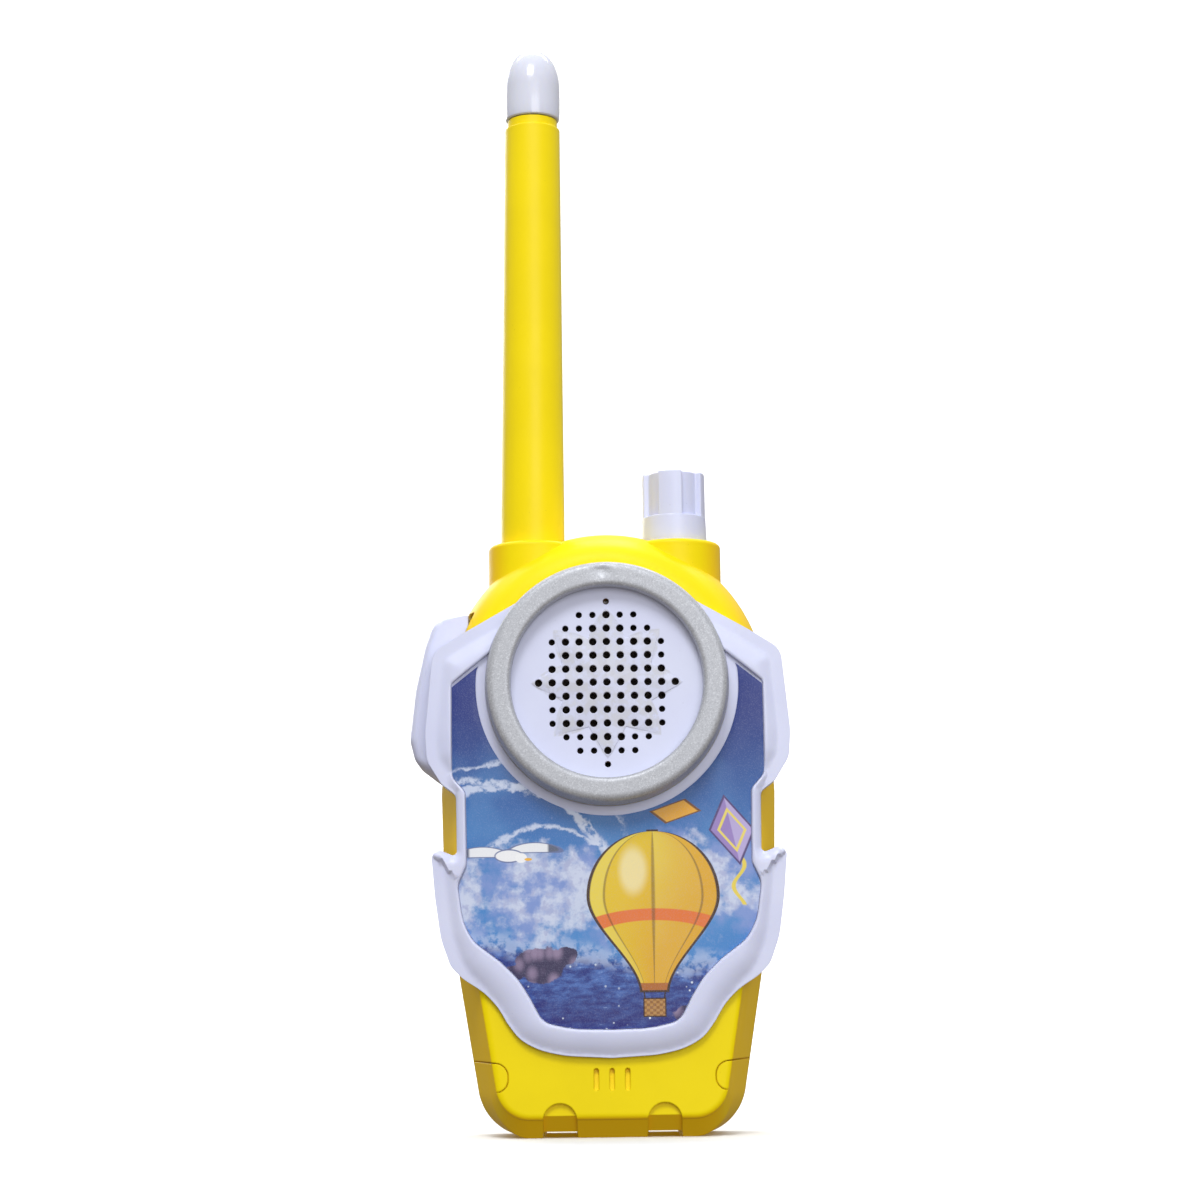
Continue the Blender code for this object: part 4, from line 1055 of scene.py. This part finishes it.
def sheet_solid(outline, spacing, depth, back, loops=(), holes=()):
    """A solid between a flat back and a front of varying depth, meshed along the loops given."""
    rings = [outline, *loops, *holes]
    seeds = []
    edges = []
    for ring in rings:
        start = len(seeds)
        seeds += [Vector(p) for p in ring]
        edges += [(start + k, start + (k + 1) % len(ring)) for k in range(len(ring))]
    low = np.array(outline).min(0)
    high = np.array(outline).max(0)
    xs = np.arange(low[0], high[0], spacing)
    zs = np.arange(low[1], high[1], spacing)
    grid = np.array([(x + (0.5 * spacing if k % 2 else 0), z) for k, z in enumerate(zs) for x in xs])
    grid = grid[within(outline, grid)]
    fixed = np.array([tuple(s) for s in seeds])
    keep = np.ones(len(grid), bool)
    for k in range(0, len(fixed), 400):
        part = fixed[k : k + 400]
        across = grid[:, None, 0] - part[None, :, 0]
        up = grid[:, None, 1] - part[None, :, 1]
        keep &= np.hypot(across, up).min(1) > 0.55 * spacing
    seeds += [Vector(p) for p in grid[keep]]
    flat, _, sides, _, _, _ = delaunay_2d_cdt(seeds, edges, [], 1, 1e-5)
    if holes:
        middles = np.array([np.mean([flat[i] for i in side], axis=0) for side in sides])
        gone = np.zeros(len(sides), bool)
        for hole in holes:
            gone |= within(hole, middles)
        sides = [side for side, out in zip(sides, gone) if not out]
    used = sorted({i for side in sides for i in side})
    place = {old: new for new, old in enumerate(used)}
    faces = [tuple(place[i] for i in side) for side in sides]
    flat = np.array([tuple(flat[i]) for i in used])
    front = depth(flat)
    total = len(flat)
    points = [(x, y, z) for (x, z), y in zip(flat, front)] + [(x, back, z) for x, z in flat]
    seen = {(side[k], side[(k + 1) % len(side)]) for side in faces for k in range(len(side))}
    rim = [(a, b) for a, b in seen if (b, a) not in seen]
    backs = [tuple(total + i for i in reversed(side)) for side in faces]
    walls = [(b, a, a + total, b + total) for a, b in rim]
    return points, faces + backs + walls


def bezel_depth(places):
    """Rolls down to the outer edge, most on the wings and cup, and drops into the recess."""
    gap, edge_z = gaps_to(BEZEL_OUTLINE, places)
    free = smooth(27, 34, edge_z)
    bar = smooth(52, 55.5, edge_z) * (1 - smooth(66, 70, edge_z))
    drop = (2.0 + 2.4 * free) * (1 - bar) + 1.3 * bar
    width = (4.8 + 1.6 * free) * (1 - bar) + 1.8 * bar
    part = 1 - np.minimum(gap / width, 1)
    arched = 1 - np.sqrt(np.maximum(0, 1 - part * part))
    face = BEZEL_Y + drop * (0.5 * arched + 0.5 * part * part)
    lip, _ = gaps_to(RECESS_OUTLINE, places)
    inside = within(RECESS_OUTLINE, places)
    out = np.where(inside, 0, lip)
    round_over = 0.45 * (1 - np.sqrt(np.maximum(0, 1 - (1 - np.minimum(out / 0.55, 1)) ** 2)))
    face = face + round_over
    return np.where(inside | (lip < 1e-4), PLATE_Y, np.minimum(face, PLATE_Y))


def make_bezel():
    loops = [shrunk(BEZEL_OUTLINE, by) for by in (0.12, 0.3, 0.6)]
    loops += [RECESS_OUTLINE] + [shrunk(RECESS_OUTLINE, -by) for by in (0.03, 0.12, 0.3, 0.55)]
    obj = add("bezel", *sheet_solid(BEZEL_OUTLINE, 0.62, bezel_depth, BEZEL_BACK_Y, loops))
    cut(obj, add("ring_clearance", *lathe(rod(RING_BASE_R + 0.03, -30, -10), "Y", (0, SPEAKER_Z), 160)))
    cut(obj, add("case_clearance", *case_solid(-0.2, FRONT_Y - 0.2, 0)))
    return obj


def label_outline():
    low = rounded(mirrored(LABEL_HALF + [(*LABEL_TOP, 0)]), 8)
    start = [k for k, p in enumerate(low) if abs(p[0] - LABEL_TOP[0]) < 0.01 and p[1] > 92][0] + 1
    first = math.degrees(math.atan2(LABEL_TOP[1] - SPEAKER_Z, LABEL_TOP[0]))
    turns = [first - (180 + 2 * first) * i / 90 for i in range(1, 90)]
    under_ring = on_circle(0, SPEAKER_Z, LABEL_ARC_R, turns)
    return even(shrunk(low[:start] + under_ring + low[start:], 0.12), 1.2)


def label_depth(places):
    """A sticker laid on by hand: it lies a hair proud in slow swells, and its edge turns down."""
    gap, _ = gaps_to(LABEL, places)
    swell = 0.03 * np.sin(places[:, 0] * 0.31 + 0.7) * np.sin(places[:, 1] * 0.23 + 1.1)
    edge = 0.10 * (1 - smooth(0, 0.35, gap))
    return PLATE_Y - 0.35 + swell * smooth(0, 3, gap) + edge


LABEL = label_outline()

ROWS = {0: 5, 1: 4, 2: 4, 3: 4, 4: 3, 5: 2, 6: 0}
STAR = []
for k in range(16):
    reach = 9.45 if k % 2 else (15.2 if k % 4 == 0 else 14.6)
    STAR += on_circle(0, SPEAKER_Z, reach, (22.5 * k,))


def star_depth(places):
    """A low eight-pointed star: flat facets from a centre peak down to its outline."""
    rel = places - np.array((0, SPEAKER_Z))
    best = np.full(len(places), -1.0)
    for k in range(16):
        a = np.array(STAR[k]) - (0, SPEAKER_Z)
        b = np.array(STAR[(k + 1) % 16]) - (0, SPEAKER_Z)
        cross = a[0] * b[1] - a[1] * b[0]
        u = (rel[:, 0] * b[1] - rel[:, 1] * b[0]) / cross
        v = (a[0] * rel[:, 1] - a[1] * rel[:, 0]) / cross
        inside = (u >= -1e-9) & (v >= -1e-9) & (u + v <= 1.0)
        best = np.where(inside, np.maximum(best, 1 - u - v), best)
    rise = np.where(best >= 0, 0.15 + 0.60 * np.maximum(best, 0), 0)
    return GRILLE_Y - rise


def in_star(x, z):
    reach = math.hypot(x, z)
    turn = math.degrees(math.atan2(z, x)) % 45
    turn = min(turn, 45 - turn)
    return reach < 15.0 - 5.55 * turn / 22.5


HOLES = []
for row in range(-6, 7):
    for column in range(-ROWS[abs(row)], ROWS[abs(row)] + 1):
        spot = (column * HOLE_PITCH, row * HOLE_PITCH)
        HOLES.append((*spot, STAR_HOLE_R if in_star(*spot) else PLAIN_HOLE_R))


def make_grille():
    """The holed disc: its star stands low on the face, and each hole has a small bevelled lip."""
    rim = on_circle(0, SPEAKER_Z, 20.4, range(0, 360, 2))
    turns = [0.3 + math.pi * t / 10 for t in range(20)]
    holes = []
    lips = []
    for x, z, radius in HOLES:
        for found, r in ((holes, radius), (lips, radius + HOLE_LIP)):
            found.append([(x + r * math.cos(t), SPEAKER_Z + z + r * math.sin(t)) for t in turns])

    def depth(places):
        near = np.full(len(places), 1e9)
        for x, z, radius in HOLES:
            gap = np.hypot(places[:, 0] - x, places[:, 1] - SPEAKER_Z - z) - radius
            near = np.minimum(near, np.abs(gap))
        return star_depth(places) + 0.07 * (1 - smooth(0.0, HOLE_LIP, near))

    outer = shrunk(STAR, -0.12)
    return add("grille", *sheet_solid(rim, 1.4, depth, -19.85, [*lips, STAR, outer], holes))


# ---------------------------------------------------------------- turned and drawn parts
def arc_profile(corners, steps=5):
    """A (radius, height) profile whose corners (r, h, rounding) are rounded."""
    made = []
    for k, (r, h, size) in enumerate(corners):
        if not size or k in (0, len(corners) - 1):
            made.append((r, h))
            continue
        here = Vector((r, h))
        before = (Vector(corners[k - 1][:2]) - here).normalized() * size
        after = (Vector(corners[k + 1][:2]) - here).normalized() * size
        a = here + before
        b = here + after
        for i in range(steps + 1):
            t = i / steps
            p = a.lerp(here, t).lerp(here.lerp(b, t), t)
            made.append((p.x, p.y))
    return made


def make_ring():
    """A flat-faced ring with broad rounded shoulders and one soft dent near its top."""
    corners = [
        (19.7, -22.1, 0),
        (RING_BORE_R, -22.1, 0),
        (RING_BORE_R, RING_Y, 1.1),
        (20.4, RING_Y, 0),
        (21.3, RING_Y, 0),
        (22.1, RING_Y, 0),
        (RING_FACE_R + 0.05, RING_Y, 1.4),
        (RING_BASE_R, -20.2, 0.3),
        (RING_BASE_R, -19.3, 0),
        (20.7, -19.3, 0),
        (20.7, -22.1, 0),
    ]
    points, faces = lathe(arc_profile(corners, 8), "Y", (0, SPEAKER_Z), 320)
    dented = []
    for x, y, z in points:
        if y < -22.8:
            across = (x + 0.9) / 1.5
            low = math.exp(-(across**2) - ((z - 110.4) / 1.0) ** 2)
            lip = math.exp(-(across**2) - ((z - 108.6) / 0.7) ** 2)
            y = max(y + 0.50 * low - 0.12 * lip, RING_Y)
        dented.append((x, y, z))
    return add("ring", dented, faces)


AERIAL = (AERIAL_X - 165 * AERIAL_LEAN, PARTING_Y)


def make_sleeve():
    corners = [
        (2.0, 112.9, 0),
        (6.95, 112.9, 0.2),
        (6.95, 115.2, 0.2),
        (6.5, 115.2, 0),
        (6.5, 125.5, 0),
        (6.34, 140.0, 0),
        (6.12, 164.0, 0),
        (5.93, 186.0, 0),
        (5.74, 208.05, 0.35),
        (5.2, 208.15, 0.12),
        (5.2, 209.9, 0.15),
        (4.0, 209.9, 0),
        (4.0, 216.0, 0.2),
        (2.0, 216.0, 0),
    ]
    return add("aerial_rod", *lathe(arc_profile(corners), "Z", AERIAL, 96, AERIAL_LEAN))


def make_cap():
    corners = [(0, 216.6), (4.25, 216.6), (4.25, 210.3), (4.4, 210.1), (5.35, 210.1), (5.58, 210.3)]
    corners += [(5.68, 210.7), (5.74, 212.0), (5.76, 214.0), (5.72, 217.0)]
    for t in range(1, 13):
        turn = math.radians(7.5 * t)
        corners.append((5.72 * math.cos(turn) ** 0.8 if t < 12 else 0, 217.0 + 8.2 * math.sin(turn)))
    return add("aerial_tip", *lathe(corners, "Z", AERIAL, 96, AERIAL_LEAN))


RIB = ((-23, 0.28), (-15, 0), (-7.5, 0), (0, 0), (7.5, 0), (15, 0), (23, 0.28))
FLUTE = ((25.5, 0.38), (32, 0), (38.5, 0), (45, 0), (51.5, 0), (58, 0), (64.5, 0.38))


def knob_outline(radius, floor):
    """Four broad ribs with a shallow flute between each pair, its corners filleted."""
    corners = []
    for rib in range(4):
        middle = -98 + 90 * rib
        for reach, turns in ((radius, RIB), (floor, FLUTE)):
            for turn, size in turns:
                a = math.radians(middle + turn)
                corners.append((KNOB_X + reach * math.cos(a), PARTING_Y + reach * math.sin(a), size))
    return rounded(corners, 12)


def make_knob():
    body = knob_outline(6.45, 5.3)
    levels = [(123.9, 0), (124.6, 0), (127, 0.01), (130, 0.02), (133.12, 0.05)]
    for t in range(1, 7):
        turn = math.radians(15 * t)
        levels.append((133.12 + 0.28 * math.sin(turn), 0.05 + 0.2 * (1 - math.cos(turn))))
    rings = [[(x, y, z) for x, y in shrunk(body, by)] for z, by in levels]
    rim = rings[-1]
    for share in (0.92, 0.55):
        rings.append([(KNOB_X + (x - KNOB_X) * share, PARTING_Y + (y - PARTING_Y) * share, z) for x, y, z in rim])
    obj = add("dial", *loft(rings))
    cut(obj, add("dial_bore", *lathe(rod(3.12, 110, 128.7), "Z", (KNOB_X, PARTING_Y), 32)))
    skirt = [(3.2, 118.78, 0), (6.62, 118.78, 0.1), (6.68, 119.6, 0.5), (6.5, 124.3, 0.25), (3.2, 124.3, 0)]
    fuse(obj, add("dial_skirt", *lathe(arc_profile(skirt, 6), "Z", (KNOB_X, PARTING_Y), 120)))
    return obj


def make_talk_bar():
    """The bar's outer edge is a broad quarter round in front and behind; its inner side is straight."""
    side = normals(TALK_OUTLINE)
    turns = [math.radians(10 * t) for t in range(10)]
    round_in = [(2.2 * (1 - math.cos(turn)), 1.5 * (1 - math.sin(turn))) for turn in turns]
    levels = [(-12.3 + back, inward) for back, inward in round_in] + [(-7.0, 0), (-4.0, 0)]
    levels += [(3.0 - back, inward) for back, inward in reversed(round_in)]
    rings = []
    for y, inward in levels:
        ring = []
        for (x, z), (nx, nz) in zip(TALK_OUTLINE, side):
            weight = min(max((-31.5 - x) / 2, 0.12), 1)
            ring.append((x - nx * inward * weight, y, z - nz * inward * weight))
        rings.append(ring)
    obj = add("talk_key", *loft(rings))
    fuse(obj, add("key_stem", *box(-30.5, -25.6, -11.5, 1.5, 80.5, 95.4)))
    fuse(obj, add("key_web", *box(-30.4, -26.8, -8.5, -5.4, 95.2, 102.0)))
    fuse(obj, add("key_flange", *box(-26.2, -25.0, -14.2, 4.2, 82.0, 95.0)))
    return obj


def make_screw(name, place, head_y, tip_y, head_r, shank_r):
    x, z = place
    profile = [(0, tip_y), (shank_r * 0.2, tip_y), (shank_r * 0.8, tip_y + 1.6 * shank_r)]
    pitch = shank_r * 0.75
    y = tip_y + 1.6 * shank_r
    while y < head_y - pitch * 1.5:
        profile += [(shank_r * 0.8, y), (shank_r, y + pitch * 0.4), (shank_r * 0.8, y + pitch * 0.8)]
        y += pitch
    profile += [(shank_r * 0.8, head_y), (head_r - 0.1, head_y), (head_r, head_y + 0.1)]
    for t in range(9):
        turn = math.radians(10 * t)
        rise = 0.25 * head_r + 0.37 * head_r * math.sin(turn)
        profile.append((head_r * math.cos(turn) ** 0.7, head_y + rise))
    profile.append((0, head_y + 0.62 * head_r))
    obj = add(name, *lathe(profile, "Y", place, 40))
    a = head_r * 0.6
    b = head_r * 0.14
    cross = [(-b, -a), (b, -a), (b, -b), (a, -b), (a, b), (b, b)]
    cross += [(-u, -v) for u, v in cross]
    small = [(u * 0.55, v * 0.55) for u, v in cross]
    low = [(x + u, head_y + 0.12 * head_r, z + v) for u, v in small]
    high = [(x + u, head_y + head_r, z + v) for u, v in cross]
    cut(obj, add(f"{name}_cross", *loft([low, high])))
    return obj


def make_door():
    outline = rounded([(-15.8, 5.6, 2), (15.8, 5.6, 2), (15.8, 68.3, 2), (-15.8, 68.3, 2)], 9)
    levels = [(11.4, 0.0), (12.4, 0.0)]
    for t in range(1, 6):
        turn = math.radians(18 * t)
        levels.append((12.4 + 0.6 * math.sin(turn), 0.5 * (1 - math.cos(turn))))
    obj = add("door_panel", *loft([[(x, y, z) for x, z in shrunk(outline, by)] for y, by in levels]))
    hole = [(0, 5), (1.5, 5), (1.5, 12.5), (2.1, 13.1), (2.1, 20), (0, 20)]
    grips = []
    for z in (12.0, 14.6, 17.2):
        bar = rounded([(-8, z, 0.6), (8, z, 0.6), (8, z + 1.2, 0.6), (-8, z + 1.2, 0.6)], 15)
        steps = ((12.4, shrunk(bar, 0.25)), (13.2, bar), (20, bar))
        grips.append(loft([[(px, y, pz) for px, pz in line] for y, line in steps]))
    carve(obj, "door_holes", many(*[lathe(hole, "Y", place, 32) for place in DOOR_SCREWS]))
    carve(obj, "door_grips", many(*grips))
    return obj


def make_bracket():
    plate = rounded([(-9.6, 90.4, 1.4), (9.6, 90.4, 1.4), (9.6, 112.4, 1.4), (-9.6, 112.4, 1.4)], 12)
    levels = ((13.1, 0), (14.5, 0), (14.75, 0.07), (14.93, 0.25), (15.0, 0.5))
    obj = add("pivot_plate", *loft([[(x, y, z) for x, z in shrunk(plate, by)] for y, by in levels]))
    lug = [(14.0, 97.4, 0), (18.6, 99.3, 1.6), (20.5, 100.6, 1.4)]
    lug += [(20.5, 103.4, 1.4), (18.6, 104.7, 1.6), (14.0, 106.6, 0)]
    for side in (-1, 1):
        inner, outer = sorted((side * 7.5, side * 9.6))
        name = "left" if side < 0 else "right"
        ear = add(f"ear_{name}", *side_prism(rounded(lug, 10), inner, outer))
        bevel(ear, 0.3)
        fuse(obj, ear)
    cut(obj, add("pivot_hole", *lathe(rod(1.2, -20, 20), "X", CLIP_PIN, 32)))
    cut(obj, add("plate_holes", *many(*pegs(BRACKET_SCREWS, 1.4, 10, 16, 32))))
    return obj


def make_clip():
    side_view = [
        (19.8, 106.0, 1.5),
        (21.0, 113.6, 0.3),
        (23.1, 114.0, 0.6),
        (22.4, 106.0, 4),
        (22.2, 96.0, 8),
        (22.2, 76.0, 5),
        (21.2, 72.8, 2.5),
        (18.8, 70.9, 2.5),
        (15.6, 70.6, 2.0),
        (13.5, 71.6, 0.7),
        (13.9, 73.0, 0.7),
        (16.6, 73.0, 1.5),
        (18.6, 74.4, 2.0),
        (20.0, 77.0, 3.0),
        (19.8, 96.0, 8),
    ]
    outline = rounded(side_view, 8)
    edge = [(7.1, 0.26), (7.04, 0.13), (6.95, 0.05), (6.8, 0)]
    levels = [(-x, by) for x, by in edge] + edge[::-1]
    obj = add("clip_arm", *loft([[(x, y, z) for y, z in shrunk(outline, by)] for x, by in levels]))
    for side in (-1, 1):
        inner, outer = sorted((side * 3.7, side * 7.1))
        name = "left" if side < 0 else "right"
        fuse(obj, add(f"barrel_{name}", *lathe(rod(2.4, inner, outer), "X", CLIP_PIN, 48)))
    cut(obj, add("arm_bore", *lathe(rod(1.2, -20, 20), "X", CLIP_PIN, 32)))
    cut(obj, add("arm_window", *box(-3.5, 3.5, 15, 20.9, 91.5, 105.0)))
    ridges = [lathe(rod(0.45, -4.6, 4.6), "X", (22.62, z), 16) for z in (108.2, 109.9, 111.6)]
    fuse(obj, add("arm_ridges", *many(*ridges)))
    return obj


def make_spring():
    curve = bpy.data.curves.new("torsion_spring", "CURVE")
    curve.dimensions = "3D"
    path = [(-2.6, 15.6, 96.9)]
    turns = 4
    for i in range(turns * 24 + 13):
        turn = 2 * math.pi * i / 24 - math.pi
        x = -2.6 + 5.2 * i / (turns * 24 + 12)
        path.append((x, CLIP_PIN[0] + 1.5 * math.cos(turn), CLIP_PIN[1] + 1.5 * math.sin(turn)))
    path.append((2.6, 20.3, 94.0))
    spline = curve.splines.new("POLY")
    spline.points.add(len(path) - 1)
    for point, (x, y, z) in zip(spline.points, path):
        point.co = (x / 1000, y / 1000, z / 1000, 1)
    curve.bevel_depth = 0.00024
    curve.bevel_resolution = 4
    curve.use_fill_caps = True
    obj = bpy.data.objects.new("torsion_spring", curve)
    scene.collection.objects.link(obj)
    return obj


# ---------------------------------------------------------------- assembly
camera()
studio()

# The orange is painted shade for the yellow shell's flanks and underside.
orange = (0.96, 0.585, 0.0)
yellow = moulded(
    "yellow_shell", (0.92, 0.725, 0.0), (0.96, 0.76, 0.0), 0.42, edge=0.35, shine=0.20, painted_shade_colour=orange
)
yellow_rod = moulded("yellow_rod", (0.92, 0.715, 0.0), (0.96, 0.75, 0.0), 0.36, shine=0.25)
lilac = moulded("lilac_white", (0.66, 0.69, 0.90), (0.69, 0.72, 0.92), 0.36, edge=0.25, glow=0.05)
lilac_fine = starred_grille()
cap = moulded(
    "lilac_gloss", (0.66, 0.68, 0.80), (0.72, 0.74, 0.85), 0.20, coat=0.6, glow=0.10, specks=False
)
silver = flaked_paint()
picture = printed_picture()
steel = metal("bright_steel", (0.55, 0.55, 0.56), (0.72, 0.72, 0.73), 0.28)

dress(make_front_case(), yellow.material, "case", "yellow_plastic", "front_shell")
dress(make_rear_case(), yellow.material, "case", "yellow_plastic", "rear_shell")
dress(make_bezel(), lilac.material, "case", "white_plastic", "front_bezel")
panel = add("picture", *sheet_solid(LABEL, 0.8, label_depth, PLATE_Y - 0.08))
dress(panel, picture, "case", "printed_label", "picture_label")
dress(make_grille(), lilac_fine.material, "case", "white_plastic", "speaker_grille", angle=12)
dress(make_ring(), silver, "case", "silver_paint", "speaker_ring")
dress(make_sleeve(), yellow_rod.material, "case", "yellow_plastic", "aerial_sleeve")
dress(make_cap(), cap.material, "case", "cap_plastic", "aerial_cap")
dress(make_knob(), lilac.material, "knob", "white_plastic", "knob")
dress(make_talk_bar(), lilac.material, "talk_bar", "white_plastic", "talk_bar")
dress(make_door(), yellow.material, "battery_door", "yellow_plastic", "battery_door")
dress(make_bracket(), lilac.material, "case", "white_plastic", "clip_bracket")
dress(make_clip(), lilac.material, "belt_clip", "white_plastic", "belt_clip")
SCREWS = (
    ("case", CASE_SCREWS, "case", (4.1, -12.0, 2.5, 1.2)),
    ("door", DOOR_SCREWS, "battery_door", (13.1, 6.2, 2.3, 0.95)),
    ("bracket", BRACKET_SCREWS, "case", (15.1, 8.0, 2.3, 0.95)),
)
for kind, places, body, sizes in SCREWS:
    for number, place in enumerate(places, 1):
        screw = make_screw(f"{kind}_bolt_{number}", place, *sizes)
        dress(screw, steel, body, "steel", f"{kind}_screw_{number}")
spring = make_spring()
spring.data.materials.append(steel)
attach(spring, "belt_clip")
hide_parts("clip_spring")



def inside_plastic(name, low, high, rough, grain=0.00001):
    return moulded(name, low, high, rough, grain=grain).material


# The pieces inside keep their frame meshes and take a worked material each.
INNER = {
    "steel": steel,
    "brass": metal("lug_brass", (0.68, 0.48, 0.18), (0.83, 0.64, 0.30), 0.32),
    "cone_paper": inside_plastic("pressed_paper", (0.13, 0.105, 0.09), (0.22, 0.18, 0.155), 0.85, 0.00004),
    "foam": inside_plastic("black_foam", (0.03, 0.03, 0.03), (0.07, 0.07, 0.07), 0.95, 0.00008),
    "board": inside_plastic("brown_board", (0.24, 0.15, 0.05), (0.34, 0.23, 0.09), 0.5, 0.00002),
    "black_plastic": inside_plastic("black_moulding", (0.02, 0.02, 0.02), (0.035, 0.035, 0.035), 0.45),
    "capacitor_sleeve": inside_plastic("shrunk_sleeve", (0.02, 0.035, 0.12), (0.03, 0.055, 0.17), 0.35),
    "rubber": inside_plastic("grey_rubber", (0.03, 0.03, 0.03), (0.05, 0.05, 0.05), 0.8, 0.00003),
    "battery_jacket": metal("battery_wrap", (0.05, 0.055, 0.07), (0.12, 0.12, 0.14), 0.4, 0.35),
    "wire_red": inside_plastic("red_sleeving", (0.50, 0.03, 0.02), (0.62, 0.05, 0.03), 0.5),
    "wire_black": inside_plastic("black_sleeving", (0.02, 0.02, 0.02), (0.04, 0.04, 0.04), 0.5),
    "white_plastic": lilac.material,
    "yellow_plastic": yellow.material,
    "silver_paint": silver,
    "cap_plastic": cap.material,
    "printed_label": picture,
}
for part in frame["record"]["subparts"]:
    node = frame["nodes"][part["node"]]
    worn = INNER[part["material_slot"]]
    if not node.data.materials:
        node.data.materials.append(worn)
    for k in range(len(node.data.materials)):
        node.data.materials[k] = worn
